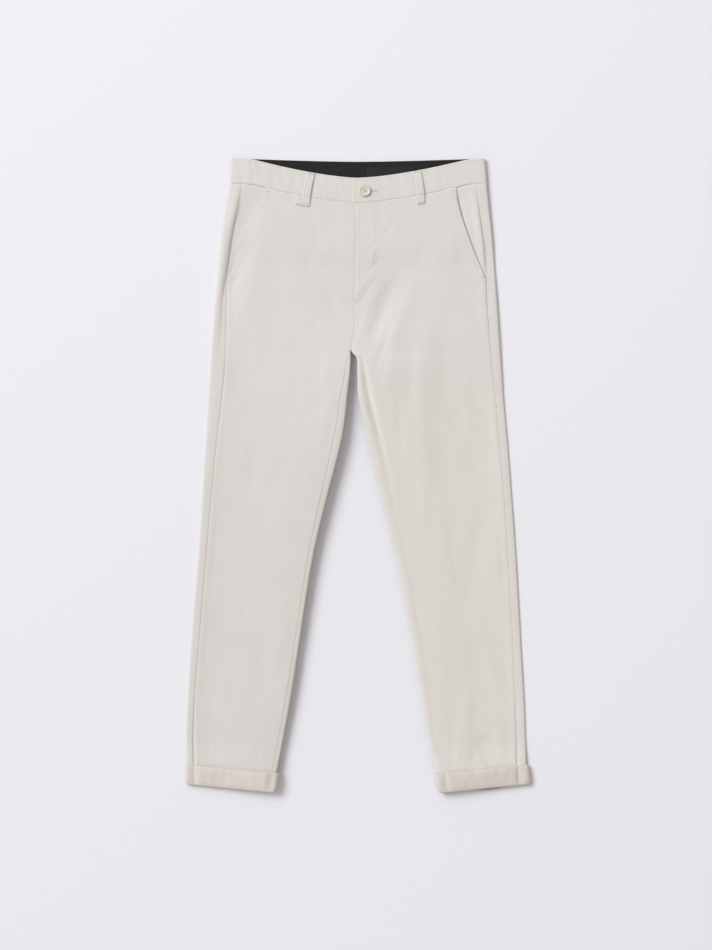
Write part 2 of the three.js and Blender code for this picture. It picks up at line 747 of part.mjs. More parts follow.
function label() {
  const low = SEAT.lift + BAND_CLOTH + LINING.thick + 2 * SEAM_GAP;
  const rows = steps(LABEL.top, LABEL.top + LABEL.height, 1).map((down) =>
    steps(LABEL.from, LABEL.to, 1).map((out) => ({ out, down, low, high: low + LABEL.thick })),
  );
  return strip(SIDES.left, rows);
}

// A manifold-3d solid from a closed three.js geometry, and back again
function solidOf(wasm, geometry) {
  const bare = geometry.clone();
  bare.deleteAttribute("normal");
  bare.deleteAttribute("uv");
  const merged = mergeVertices(bare, 1e-3);
  const mesh = new wasm.Mesh({
    numProp: 3,
    vertProperties: merged.attributes.position.array,
    triVerts: new Uint32Array(merged.index.array),
  });
  return new wasm.Manifold(mesh);
}

function geometryOf(solid) {
  const mesh = solid.getMesh();
  const geometry = new THREE.BufferGeometry();
  geometry.setAttribute("position", new THREE.BufferAttribute(mesh.vertProperties, 3));
  geometry.setIndex(new THREE.BufferAttribute(mesh.triVerts, 1));
  geometry.computeVertexNormals();
  return geometry;
}

// Four-hole trouser button with a raised rim
async function buttonGeometry() {
  const wasm = await Module();
  wasm.setup();
  const { radius, thick, rim, hole, holeOut } = BUTTON;
  const profile = [
    [0, 0],
    [radius - 1.4, 0],
    [radius - 0.3, 0.7],
    [radius, thick / 2],
    [radius - 0.4, thick - 0.4],
    [radius - 1.0, thick],
    [radius - rim - 0.4, thick - 0.1],
    [radius - rim - 1.2, thick - 0.9],
    [0, thick - 0.9],
  ].map(([r, z]) => new THREE.Vector2(r, z));
  const disc = new THREE.LatheGeometry(profile, 28).rotateX(Math.PI / 2);
  let solid = solidOf(wasm, disc);
  for (const turn of steps(0, 3, 3)) {
    const angle = Math.PI / 4 + (turn * Math.PI) / 2;
    const drill = new THREE.CylinderGeometry(hole, hole, 3 * thick, 8)
      .rotateX(Math.PI / 2)
      .translate(holeOut * Math.cos(angle), holeOut * Math.sin(angle), thick / 2);
    solid = solid.subtract(solidOf(wasm, drill));
  }
  return geometryOf(solid);
}

const finish = (color, roughness) => new THREE.MeshStandardMaterial({ color, roughness, metalness: 0 });
const TWILL = finish(0xdad5ce, 0.9);
const TAPE = finish(0x28282b, 0.75);
const SATIN = finish(0x2e2e33, 0.5);
const RESIN = finish(0xd8d3c4, 0.4);

const trousers = new THREE.Group();

function add(name, geometry, material) {
  const mesh = new THREE.Mesh(geometry, material);
  mesh.name = name;
  trousers.add(mesh);
  return mesh;
}

for (const [name, side] of Object.entries(SIDES)) {
  add(`front_${name}`, frontPanel(side), TWILL);
  add(`back_${name}`, backPanel(side), TWILL);
  add(`pocket_facing_${name}`, pocketFacing(side), TWILL);
  add(`waistband_${name}`, waistband(side), TWILL);
  add(`cuff_back_${name}`, cuff(side, backPath, backColumns, 1), TWILL);
  add(`cuff_front_${name}`, cuff(side, frontPath, frontColumns, -1), TWILL);
}
for (const spec of FRONT_LOOPS) add(spec.name, frontLoop(spec), TWILL);
for (const spec of BACK_LOOPS) add(spec.name, backLoop(spec.x), TWILL);
add("waistband_lining", lining(), TAPE);
add("label", label(), SATIN);

const button = add("button", await buttonGeometry(), RESIN);
const buttonSeat = frontSurface(SIDES.left, BUTTON.x, BUTTON.down) + 2 * SEAM_GAP;
button.position.set(BUTTON.x, LENGTH / 2 - BUTTON.down, buttonSeat);

export default trousers;
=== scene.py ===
import math

import bmesh
import bpy
import numpy as np
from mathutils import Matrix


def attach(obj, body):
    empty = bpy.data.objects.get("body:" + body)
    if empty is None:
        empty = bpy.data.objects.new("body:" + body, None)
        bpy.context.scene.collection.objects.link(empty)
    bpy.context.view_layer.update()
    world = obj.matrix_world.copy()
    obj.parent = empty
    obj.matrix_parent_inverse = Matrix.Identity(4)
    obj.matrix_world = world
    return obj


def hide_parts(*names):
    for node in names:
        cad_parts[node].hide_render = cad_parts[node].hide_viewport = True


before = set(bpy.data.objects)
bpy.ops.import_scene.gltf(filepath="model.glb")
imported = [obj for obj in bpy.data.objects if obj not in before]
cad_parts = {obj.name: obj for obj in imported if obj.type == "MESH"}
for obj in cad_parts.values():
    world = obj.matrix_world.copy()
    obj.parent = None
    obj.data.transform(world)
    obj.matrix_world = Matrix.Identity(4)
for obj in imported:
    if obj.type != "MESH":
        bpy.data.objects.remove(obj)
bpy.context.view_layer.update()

MM = 0.001
LENGTH = 1012.0
CLOTH = 0.9  # one layer, thinner than the solid's wall
BAND_CLOTH = 1.7
SEAM_GAP = 0.1
BAND_HEIGHT = 39.0
BELOW_BAND = BAND_HEIGHT + 0.3
SEAT = {"lift": 2.1, "from": 125, "to": 175}
TORSO_THICKNESS = 6.4
LEG_THICKNESS = 4.1
EDGE = {"thin": 1.2, "reach": 3.5, "from": 300, "to": 350}  # a leg is thinner at its folds
LEG_LIFT = 1.6  # of the whole inner edge, which sets how wide its shadow is
FOLD_MARGIN = (6, 26)  # the large folds die out this near to a folded edge
FINE_MARGIN = (2, 12)
FOLDS_BELOW = (60, 110)  # and this far up towards the waistband
RIPPLES_BELOW = (44, 70)
FORK_DOWN = 306.3
FORK_EDGE = 2.8
LIFT_SHARE = 0.92  # of a leg's width
CUFF_TOP = 968.0
CUFF_BOTTOM = 999.0
CUFF_CLEARANCE = 0.5
CUFF_PUFF = 2.5
CUFF_OUTSET = 2.8
CENTRE = {"waist": -4, "fork": -10.5, "from": 262}
DIP = {"front": 31, "back": 4.5, "power": 1.5, "fade_end": 215}
FLY = {
    "width": 33, "end": 232, "over": 0.2, "under": 0.95, "lap": 11,
    "opens": (250, 280), "dips": (-2.0, 0.4), "rises": (0, 6), "falls": (11, 47),
}
BAND_FRONT = {"end": -7.2, "lap": 18, "step": 0.2}
POCKET = {
    "from": 48, "to": 194, "end": 191, "overlap": 10,
    "drop": 2.3, "low_drop": 1.3, "left_drop": 1.0, "eases": (95, 165), "below_band": 26,
}

# Outline of each leg, with x measured outwards from the middle of the garment
ROW = ["down", "outer", "side", "inner", "inset", "lift"]
RIGHT_LEG = [
    [0, 203.5, 182.0, 0, 0, 0],
    [40, 205.5, 184.5, 0, 0, 0],
    [80, 213.0, 192.0, 0, 0, 0],
    [130, 219.0, 201.5, 0, 0, 0],
    [180, 224.0, 207.5, 0, 0, 0],
    [230, 229.0, 209.5, 0, 0, 0],
    [306, 234.5, 210.5, 10.6, 0, 7.0],
    [322, 235.5, 211.5, 11.0, 5.5, 9.0],
    [345, 236.5, 213.0, 12.6, 7.5, 11.5],
    [380, 238.5, 216.5, 16.8, 10.0, 14.0],
    [420, 241.0, 221.3, 20.9, 11.4, 15.4],
    [460, 243.5, 226.0, 28.2, 12.0, 16.0],
    [540, 248.7, 233.5, 49.0, 9.0, 15.5],
    [620, 253.9, 240.5, 68.3, 7.0, 14.0],
    [700, 260.5, 247.0, 82.2, 6.5, 13.0],
    [780, 266.7, 254.0, 94.4, 6.5, 12.0],
    [860, 271.7, 260.0, 107.0, 6.5, 11.0],
    [930, 274.4, 263.0, 121.6, 6.5, 9.0],
    [968, 272.4, 262.0, 129.6, 7.0, 7.0],
    [999, 271.6, 261.0, 134.8, 7.0, 7.0],
]
LEFT_LEG = [
    [0, 203.4, 186.0, 0, 0, 0],
    [40, 206.4, 188.0, 0, 0, 0],
    [80, 210.3, 194.5, 0, 0, 0],
    [130, 215.5, 201.5, 0, 0, 0],
    [180, 219.5, 205.3, 0, 0, 0],
    [230, 223.3, 207.3, 0, 0, 0],
    [306, 228.2, 213.0, -10.4, 0, 7.0],
    [319, 229.0, 214.2, -1.6, 6.0, 8.5],
    [345, 230.8, 216.7, -0.8, 10.5, 10.0],
    [380, 233.1, 220.5, 0.8, 12.5, 10.5],
    [460, 240.2, 227.5, 17.0, 15.5, 9.5],
    [540, 246.2, 234.5, 36.5, 15.5, 8.0],
    [620, 252.0, 239.5, 56.5, 15.0, 7.0],
    [700, 256.8, 244.5, 73.0, 14.5, 6.5],
    [780, 261.1, 248.5, 88.5, 13.5, 6.0],
    [860, 265.8, 251.8, 102.5, 11.5, 5.5],
    [930, 268.4, 254.6, 115.6, 11.0, 5.0],
    [968, 269.2, 255.5, 126.4, 11.5, 4.5],
    [999, 272.8, 258.0, 132.4, 11.5, 4.5],
]
SIDES = {
    "right": {
        "name": "right", "sign": -1, "rows": RIGHT_LEG, "reach": 173, "tilt": 12,
        "mouth": 148.5, "power": 1.08,
    },
    "left": {
        "name": "left", "sign": 1, "rows": LEFT_LEG, "reach": 182, "tilt": 13,
        "mouth": 157.5, "power": 1.4,
    },
}

# Soft folds of the fronts. heading is the run's angle from straight down, towards +X.
FOLD = ["x", "down", "heading", "length", "width", "height"]
FOLDS = [
    [38, 246, -20, 120, 10, -1.4],
    [64, 258, -22, 120, 10, 0.7],
    [122, 236, -8, 300, 22, 0.9],
    [82, 350, -3, 150, 12, -0.8],
    [104, 470, 2, 260, 16, 0.8],
    [-44, 112, 34, 100, 12, -0.5],
    [-64, 360, -4, 130, 13, -0.7],
    [-50, 415, -16, 110, 11, 0.7],
    [-166, 500, -4, 110, 16, -0.6],
    [-146, 812, -6, 130, 14, -0.8],
    [90, 720, 10, 360, 9, -0.8],
    [188, 640, -8, 220, 15, -0.7],
    [172, 905, 0, 110, 10, 0.8],
    [206, 942, 20, 60, 13, -1.0],
    [190, 204, 88, 44, 7, -0.7],
]
# Smaller ones, which the solids leave out
FINE_FOLDS = [
    [20, 128, -48, 42, 4.0, -0.5],
    [16, 112, -60, 30, 3.5, -0.4],
    [24, 165, -35, 46, 4.5, -0.5],
    [14, 212, -34, 52, 4.0, -0.6],
    [24, 226, -30, 46, 4.0, 0.4],
    [4, 252, -10, 40, 5.0, -0.3],
    [-52, 142, 36, 90, 7.0, -0.75],
    [-96, 96, 18, 60, 8.0, 0.3],
    [-70, 176, 32, 110, 9.0, -0.7],
    [-36, 240, 22, 90, 9.0, -0.6],
    [-40, 92, 28, 50, 4.5, -0.45],
    [-62, 84, 10, 40, 5.0, 0.35],
    [52, 88, -30, 46, 5.0, -0.45],
    [-176, 108, -22, 110, 5.0, 0.5],
    [-168, 84, -26, 70, 4.0, -0.5],
    [-160, 128, -24, 90, 5.0, -0.4],
    [-196, 196, -40, 30, 5.0, -0.5],
    [-192, 216, -60, 26, 4.0, 0.3],
    [-176, 300, -10, 80, 10.0, -0.35],
    [-170, 420, 0, 70, 10.0, -0.4],
    [-120, 330, 4, 160, 14.0, 0.35],
    [-104, 620, -2, 150, 13.0, -0.3],
    [-196, 700, -3, 160, 12.0, 0.35],
    [-230, 640, -4, 140, 8.0, -0.3],
    [-176, 930, -4, 60, 9.0, 0.4],
    [-158, 948, 8, 36, 6.0, -0.5],
    [-214, 948, 0, 34, 8.0, 0.35],
    [-238, 935, -4, 44, 6.0, -0.35],
    [186, 110, 12, 90, 4.5, -0.5],
    [176, 92, 10, 60, 4.0, 0.4],
    [182, 150, 14, 60, 4.0, 0.3],
    [194, 214, 84, 30, 3.0, -0.7],
    [200, 238, 70, 24, 3.5, -0.5],
    [178, 226, 30, 60, 8.0, -0.5],
    [150, 130, -6, 110, 9.0, 0.3],
    [96, 150, -24, 90, 9.0, -0.35],
    [60, 190, -34, 60, 7.0, -0.4],
    [40, 300, -18, 90, 5.0, -0.7],
    [48, 226, -26, 120, 20.0, -1.2],
    [80, 240, -22, 130, 17.0, 0.8],
    [52, 330, -12, 110, 7.0, 0.5],
    [66, 410, 4, 130, 7.0, -0.5],
    [136, 350, -4, 160, 12.0, -0.35],
    [176, 400, 2, 150, 12.0, 0.35],
    [208, 470, -2, 150, 9.0, -0.4],
    [136, 620, 6, 200, 12.0, 0.4],
    [222, 620, -4, 150, 9.0, 0.4],
    [150, 800, 4, 160, 12.0, -0.3],
    [232, 820, 2, 120, 8.0, -0.35],
    [226, 930, 12, 60, 7.0, 0.5],
    [188, 954, 40, 34, 7.0, -0.9],
    [150, 950, -6, 40, 6.0, -0.5],
    [160, 930, 0, 60, 6.0, 0.4],
]
# The sharp creases beside the seams: [down, x outwards, depth] along each line. Those with a
# roll are steps: a convex roll on one side, a shelf and a slow rise on the other.
CREASES = [
    {
        "side": "right", "away": 9, "towards": 34, "shelf": 10, "ridge": 0.45, "roll": 1,
        "line": [
            [42, 183.0, 0], [60, 186.4, 1.5], [80, 190.0, 2.9], [105, 196.4, 3.3], [130, 201.0, 3.3],
            [165, 206.4, 3.3], [200, 212.6, 2.8], [225, 216.2, 2.2], [275, 219.4, 1.2], [335, 224.0, 0],
        ],
    },
    {
        "side": "left", "away": 7, "towards": 26, "shelf": 3, "ridge": 0.2, "roll": -1,
        "line": [
            [46, 188.8, 0], [90, 195.6, 2.1], [140, 203.0, 2.8],
            [185, 205.8, 1.7], [240, 207.5, 0.7], [340, 216.0, 0],
        ],
    },
    {
        "side": "left", "away": 4.0, "towards": 6,
        "line": [
            [312, 6.0, 0], [330, 10.0, 1.6], [360, 15.0, 2.6], [400, 23.0, 2.8], [430, 31.0, 2.0],
            [470, 40.0, 1.3], [520, 52.0, 0.4], [620, 72.0, 0],
        ],
    },
    {
        "side": "right", "away": 2.0, "towards": 1.6,
        "line": [[860, 260.0, 0], [925, 261.8, 1.0], [962, 260.2, 1.6], [968, 260.0, 0.6]],
    },
    {
        "side": "left", "away": 1.8, "towards": 1.8,
        "line": [[860, 251.8, 0], [930, 254.6, 0.9], [962, 254.5, 1.3], [968, 254.5, 0.5]],
    },
]


def smooth(low, high, v):
    t = np.clip((v - low) / (high - low), 0.0, 1.0)
    return t * t * (3 - 2 * t)


def mix(a, b, t):
    return a + (b - a) * t


def soft_floor(v):
    return np.where(np.abs(v) < 0.15, (v + 0.15) ** 2 / 0.6, np.maximum(v, 0))


def lattice(ix, iy, seed):
    """A fixed value from -1 to 1 for each cell corner."""
    h = np.sin(ix * 127.1 + iy * 311.7 + seed * 74.7) * 43758.5453
    return 2 * (h - np.floor(h)) - 1


def noise(x, y, seed):
    """Smooth noise from -1 to 1 with features one unit wide."""
    x, y = np.broadcast_arrays(np.asarray(x, float), np.asarray(y, float))
    ix, iy = np.floor(x), np.floor(y)
    tx, ty = smooth(0, 1, x - ix), smooth(0, 1, y - iy)
    low = mix(lattice(ix, iy, seed), lattice(ix + 1, iy, seed), tx)
    high = mix(lattice(ix, iy + 1, seed), lattice(ix + 1, iy + 1, seed), tx)
    return mix(low, high, ty)


def bell(distance, width):
    return np.exp(-((distance / width) ** 2))


def curve(a, b, slope_a, slope_b, span, t):
    """A smooth curve from a to b, with the given slopes at its ends."""
    return (
        a * (2 * t**3 - 3 * t**2 + 1)
        + b * (3 * t**2 - 2 * t**3)
        + span * (slope_a * (t**3 - 2 * t**2 + t) + slope_b * (t**3 - t**2))
    )


def column(side, name, down):
    """One column of a leg's table at any height, on a smooth curve through its rows."""
    rows = side["rows"]
    c = ROW.index(name)
    k = min(max(sum(r[0] <= down for r in rows) - 1, 0), len(rows) - 2)

    def slope(i):
        p, q = rows[max(i - 1, 0)], rows[min(i + 1, len(rows) - 1)]
        return (q[c] - p[c]) / (q[0] - p[0])

    a, b = rows[k], rows[k + 1]
    span = b[0] - a[0]
    t = min(max((down - a[0]) / span, 0), 1)
    return curve(a[c], b[c], slope(k), slope(k + 1), span, t)


def centre(side, down):
    x = mix(CENTRE["waist"], CENTRE["fork"], smooth(CENTRE["from"], FORK_DOWN, down))
    return float(side["sign"] * x + SEAM_GAP / 2)


def fold_sum(table, x, down):
    total = np.zeros_like(x)
    for row in table:
        f = dict(zip(FOLD, row))
        heading = math.radians(f["heading"])
        dx, dd = x - f["x"], down - f["down"]
        run = dx * math.sin(heading) + dd * math.cos(heading)
        across = dx * math.cos(heading) - dd * math.sin(heading)
        fade = 1 - smooth(0.5, 1, 2 * np.abs(run) / f["length"])
        total += f["height"] * fade * bell(across, f["width"])
    return total


def step_down(offset, crease):
    """1 at a crease's line: a convex roll on its high side, a slow rise on its low one."""
    near = np.clip(1 - offset / crease["away"], 0, 1)
    rolled = (1 - np.sqrt(1 - 0.98 * near**2)) / (1 - math.sqrt(0.02))
    low = smooth(-crease["shelf"] - crease["towards"], -crease["shelf"], offset)
    ridge = crease["ridge"] * bell(offset - crease["away"], crease["away"])
    return np.where(offset > 0, rolled, low) - ridge


def crease_sum(side, out, down):
    total = np.zeros_like(out)
    for crease in CREASES:
        if crease["side"] != side["name"]:
            continue
        at, xs, depths = np.array(crease["line"]).T
        offset = out - np.interp(down, at, xs)
        depth = np.interp(down, at, depths)
        if "roll" in crease:
            total += depth * step_down(offset * crease["roll"], crease)
            continue
        width = np.where(offset > 0, crease["away"], crease["towards"])
        total += depth * bell(offset, width)
    return total


def bottom_at(side, out, down):
    seat = SEAT["lift"] * (1 - smooth(SEAT["from"], SEAT["to"], down))
    in_cuff = CUFF_OUTSET * smooth(CUFF_TOP - 40, CUFF_TOP - 4, down)
    inner = column(side, "inner", down)
    rise = 1 - smooth(0, LIFT_SHARE * (column(side, "outer", down) - inner), out - inner)
    lift = max(column(side, "lift", down), 0) + LEG_LIFT * smooth(EDGE["from"], EDGE["to"], down)
    return seat + in_cuff + lift * rise


def front_edge(side, down):
    seam = column(side, "side", down) - SEAM_GAP / 2
    if down >= POCKET["to"]:
        return seam
    share = min(max((down - POCKET["from"]) / (POCKET["to"] - POCKET["from"]), 0), 1)
    bottom = column(side, "side", POCKET["to"]) - SEAM_GAP / 2
    return mix(side["mouth"], bottom, share ** side["power"])


# Cloth is never quite flat: long low waves, then smaller ones
RIPPLE = ["width", "length", "height", "seed"]
RIPPLES = [[26, 95, 0.30, 3], [11, 38, 0.16, 8], [4.5, 14, 0.05, 15]]
RIPPLE_LEAN = {"from": 300, "slope": 0.16}  # the waves of a leg run along it


def ripples(side, out, down):
    lean = out - RIPPLE_LEAN["slope"] * max(down - RIPPLE_LEAN["from"], 0)
    total = 0
    for row in RIPPLES:
        r = dict(zip(RIPPLE, row))
        wave = noise(lean / r["width"], down / r["length"], r["seed"] + side["sign"])
        total = total + r["height"] * wave
    return total


# What each seam does to the cloth beside it: puckers of a pitch, reach and height, with the
# row and seed of their noise, and a groove of a half width and depth
SEAM = ["pitch", "reach", "height", "row", "seed", "half", "groove"]
SEAMS = {
    "side": [5.5, 7.0, 0.13, 2, 21, 1.5, 0.34],
    "inner": [5.0, 8.0, 0.16, 5, 31, 1.4, 0.16],
    "centre": [5.0, 8.0, 0.14, 9, 41, 1.3, 0.30],
}
FLY_ROW = {"in": 1.5, "short": 60, "pitch": 5.5, "reach": 6, "height": 0.16, "half": 1.6, "groove": 0.1}
UNDER_BAND = {"pitch": 7.0, "length": 30, "reach": 14.0, "height": 0.3, "half": 1.2, "groove": 0.45}


def seam_mark(name, d, down):
    s = dict(zip(SEAM, SEAMS[name]))
    pucker = noise(down / s["pitch"], d * 0 + s["row"], s["seed"]) * bell(d, s["reach"])
    return s["height"] * pucker - s["groove"] * bell(d, s["half"])


def allowance(d, low, high, height):
    """The step of the cloth that is folded back under a seam, from low to high beside it."""
    return height * smooth(*low, d) * (1 - smooth(*high, d))


def fly_row_mark(out, down):
    d = out - (FLY["width"] - FLY_ROW["in"])
    pucker = noise(down / FLY_ROW["pitch"], out / 30, 44) * bell(d, FLY_ROW["reach"])
    return FLY_ROW["height"] * pucker - FLY_ROW["groove"] * bell(d, FLY_ROW["half"])


def seam_relief(side, out, down):
    """The seams dip into the cloth, lie on a raised allowance and pucker it a little."""
    d = out - column(side, "side", down)
    total = seam_mark("side", d, down)
    total = total + allowance(d, (-10.0, -7.0), (-2.5, 0.0), 0.16) * smooth(190, 215, down)
    if down > FORK_DOWN + 4:
        d = out - column(side, "inner", down) - column(side, "inset", down)
        total += seam_mark("inner", d, down) + allowance(d, (0.0, 2.0), (5.5, 8.0), 0.07)
    else:
        total += seam_mark("centre", out - centre(side, down), down)
        if side["sign"] > 0 and down < FLY["end"] - FLY_ROW["short"]:
            total += fly_row_mark(out, down)
    under = down - BELOW_BAND
    pucker = noise(out / UNDER_BAND["pitch"], under / UNDER_BAND["length"], 51)
    total += UNDER_BAND["height"] * pucker * math.exp(-under / UNDER_BAND["reach"])
    return total - UNDER_BAND["groove"] * bell(under, UNDER_BAND["half"])


def fly_step(side, out, down):
    """The closed fly: the right front dips in under the left one, which rises over it."""
    closed = 1 - smooth(*FLY["opens"], down)
    d = out - centre(side, down)
    if side["sign"] < 0:
        return -FLY["under"] * closed * (1 - smooth(*FLY["dips"], d))
    return FLY["over"] * closed * smooth(*FLY["rises"], d) * (1 - smooth(*FLY["falls"], d))


def base_top(side, out, down):
    """The front's surface as the solids have it, without the fine relief."""
    leg = smooth(FORK_DOWN - 40, FORK_DOWN + 110, down)
    from_outer = column(side, "outer", down) - out
    from_inner = np.abs(out - column(side, "inner", max(down, FORK_DOWN)))
    thick = mix(TORSO_THICKNESS, LEG_THICKNESS, leg)
    thick = thick - EDGE["thin"] * np.exp(-np.maximum(from_outer, 0) / EDGE["reach"])
    parted = smooth(EDGE["from"], EDGE["to"], down)
    thick = thick - EDGE["thin"] * parted * np.exp(-from_inner / EDGE["reach"])
    inside = smooth(*FOLD_MARGIN, from_outer) * mix(1, smooth(*FOLD_MARGIN, from_inner), leg)
    below = smooth(*FOLDS_BELOW, down)
    above = fold_sum(FOLDS, side["sign"] * out, down) * inside * below
    above = above - crease_sum(side, out, down)
    return bottom_at(side, out, down) + thick + above + fly_step(side, out, down)


def top_at(side, out, down):
    out = np.asarray(out, float)
    x = side["sign"] * out
    from_outer = column(side, "outer", down) - out
    edge = smooth(*FINE_MARGIN, from_outer)
    from_inner = np.abs(out - column(side, "inner", max(down, FORK_DOWN)))
    leg = smooth(FORK_DOWN - 40, FORK_DOWN + 60, down)
    edge = edge * mix(1, smooth(*FINE_MARGIN, from_inner), leg)
    below = smooth(*RIPPLES_BELOW, down)
    fine = (fold_sum(FINE_FOLDS, x, down) + ripples(side, out, down) * below) * edge
    return base_top(side, out, down) + fine + seam_relief(side, out, down)


def under_at(side, out, down):
    """The outside of the back: flat where it rests, with shallow creases that rise off it."""
    out = np.asarray(out, float)
    waves = noise(out / 30, down / 120, 61 + side["sign"]) + 0.5 * noise(out / 12, down / 45, 67)
    return bottom_at(side, out, down) + 0.9 * np.clip(waves - 0.25, 0, 1)


def carried(side, out, down, is_front):
    out = np.asarray(out, float)
    dip = np.where(is_front, DIP["front"], DIP["back"])
    hang = soft_floor(1 - (np.abs(out) / side["reach"]) ** DIP["power"])
    outer = column(side, "outer", CUFF_TOP)
    inner = column(side, "inner", CUFF_TOP)
    across = np.clip((outer - out) / (outer - inner), 0, 1)
    dipped = dip * hang * (1 - smooth(BAND_HEIGHT, DIP["fade_end"], down))
    return dipped + side["tilt"] * across * smooth(CUFF_TOP - 130, CUFF_TOP, down)


def place(side, out, z, down, is_front):
    y = LENGTH / 2 - down - carried(side, out, down, is_front)
    return np.stack([side["sign"] * out, y, z], axis=-1)


def fold_at(side, down, edge):
    """The fold at one edge of a section: its centre's x and z, and its radius."""
    x = column(side, edge, down)
    inward = -1 if edge == "outer" else 1
    radius = TORSO_THICKNESS / 2
    for _ in range(4):
        at = np.array([x + inward * radius])
        low = float(bottom_at(side, at, down)[0])
        radius = (float(base_top(side, at, down)[0]) - low) / 2
    return x + inward * radius, low + radius, radius


def inseam_run(side, down, radius):
    inset = column(side, "inset", down)
    full = radius * math.pi / 2 + max(inset - radius, 0)
    return full * float(smooth(FORK_DOWN, FORK_DOWN + 16, down))


def joined(*runs):
    """Runs of (out, z, is_front) one after another, as three arrays."""
    return [np.concatenate([np.asarray(r[i], float) for r in runs]) for i in range(3)]


def arc(fold, angles, inner=False):
    x, z, radius = fold
    out = x - radius * np.sin(angles) if inner else x + radius * np.sin(angles)
    flag = np.full(len(angles), 0.0) + (np.cos(angles) > 0)
    return out, z + radius * np.cos(angles), flag


def flat_run(out, z, front):
    return out, z, np.full(len(out), float(front))


def back_path(side, down):
    outer = fold_at(side, down, "outer")
    seam = column(side, "side", down) + SEAM_GAP / 2
    strip = np.linspace(seam, outer[0], 40)
    runs = [flat_run(strip, top_at(side, strip, down), 1)]
    runs.append(arc(outer, np.linspace(0, math.pi, 30)[1:]))
    is_leg = down >= FORK_DOWN
    inner = fold_at(side, down, "inner") if is_leg else None
    end = inner[0] if is_leg else centre(side, down)
    flat = np.linspace(outer[0], end, 120)[1:]
    runs.append(flat_run(flat, under_at(side, flat, down), 0))
    if not is_leg:
        return joined(*runs)
    run = inseam_run(side, down, inner[2]) - SEAM_GAP / 2
    turn = min(math.pi, math.pi / 2 + run / inner[2])
    angles = math.pi - np.linspace(0, turn, 30)[1:]
    runs.append(arc(inner, angles, inner=True))
    beyond = run - inner[2] * math.pi / 2
    if beyond > 0:
        strip = np.linspace(inner[0], inner[0] + beyond, 24)[1:]
        runs.append(flat_run(strip, top_at(side, strip, down), 1))
    return joined(*runs)


def front_path(side, down):
    start = front_edge(side, down)
    is_leg = down >= FORK_DOWN
    inner = fold_at(side, down, "inner") if is_leg else None
    run = inseam_run(side, down, inner[2]) + SEAM_GAP / 2 if is_leg else 0
    beyond = run - inner[2] * math.pi / 2 if is_leg else 0
    end = inner[0] + max(beyond, 0) if is_leg else centre(side, down)
    if not is_leg and side["sign"] < 0:
        end -= FLY["lap"] * float(1 - smooth(FLY["end"] - 10, FLY["end"] + 12, down))
    flat = np.linspace(start, end, 260)
    runs = [flat_run(flat, top_at(side, flat, down), 1)]
    if is_leg and beyond < 0:
        angles = np.linspace(0, math.pi / 2 - run / inner[2], 20)[1:]
        runs.append(arc(inner, angles, inner=True))
    return joined(*runs)


def facing_path(side, down):
    outer = column(side, "side", down) - SEAM_GAP
    mouth = front_edge(side, down)
    out = np.linspace(outer, mouth - POCKET["overlap"], 60)
    sunk = np.minimum((outer - out) / max(outer - mouth, 3), 1)
    drop = mix(POCKET["drop"], POCKET["low_drop"], smooth(*POCKET["eases"], down))
    drop += POCKET["left_drop"] if side["sign"] > 0 else 0
    drop = mix(CLOTH + 0.1, drop, smooth(BELOW_BAND, BELOW_BAND + POCKET["below_band"], down))
    return joined(flat_run(out, top_at(side, out, down) - drop * sunk, 1))


def band_relief(side, out, down, front):
    """The waistband is padded a little between its sewn edges, and its seams pucker it."""
    t = np.clip(down / BAND_HEIGHT, 0, 1)
    pad = 0.26 * math.sin(math.pi * float(t)) ** 0.5
    edge = math.exp(-down / 8) + math.exp(-(BAND_HEIGHT - down) / 8)
    pucker = (0.14 + 0.2 * edge) * noise(out / 5.0, down / 20, 71 + side["sign"])
    pucker = pucker + 0.22 * noise(out / 17, down / 60, 73 + side["sign"])
    bunched = smooth(140, 152, out) * (1 - smooth(182, 192, out)) * (side["sign"] < 0)
    bunched = bunched + 0.5 * (1 - smooth(38, 50, out)) * smooth(8, 14, out) * (side["sign"] < 0)
    deep = 0.32 * bunched * noise(out / 4.2, down / 60, 77)
    return (pad + pucker + deep) * front


def band_top(side, out, down):
    near = 1 - smooth(FLY["width"] - 6, FLY["width"] + 8, np.abs(out))
    z = base_top(side, out, down) + side["sign"] * BAND_FRONT["step"] * near
    from_fold = column(side, "outer", down) - TORSO_THICKNESS / 2 - out
    return z + band_relief(side, out, down, smooth(0, 12, from_fold))


def band_path(side, down):
    outer = fold_at(side, down, "outer")
    end = BAND_FRONT["end"] if side["sign"] > 0 else -BAND_FRONT["end"] + 0.3 - BAND_FRONT["lap"]
    back = np.linspace(centre(side, down), outer[0], 120)
    front = np.linspace(outer[0], end, 260)[1:]
    return joined(
        flat_run(back, bottom_at(side, back, down), 0),
        arc(outer, np.linspace(math.pi, 0, 30)[1:]),
        flat_run(front, band_top(side, front, down), 1),
    )


def inset(path, depth, turn):
    """A section moved along its normals, into the garment where depth is positive."""
    out, z, flag = path
    do, dz = np.gradient(out), np.gradient(z)
    length = np.hypot(do, dz)
    return [out + depth * turn * dz / length, z - depth * turn * do / length, flag]


def arc_lengths(path):
    return np.concatenate([[0], np.cumsum(np.hypot(np.diff(path[0]), np.diff(path[1])))])


def sample(path, marks, lengths):
    return [np.interp(lengths, marks, values) for values in path]


def spread(total, count, dense, reach):
    """Columns along a section, dense times closer within reach of each end."""
    t = np.linspace(0, 1, count)
    weight = 1 + (dense - 1) * (np.exp(-t * total / reach) + np.exp(-(1 - t) * total / reach))
    grown = np.concatenate([[0], np.cumsum((weight[1:] + weight[:-1]) / 2)])
    return np.interp(np.linspace(0, 1, count), grown / grown[-1], t) * total


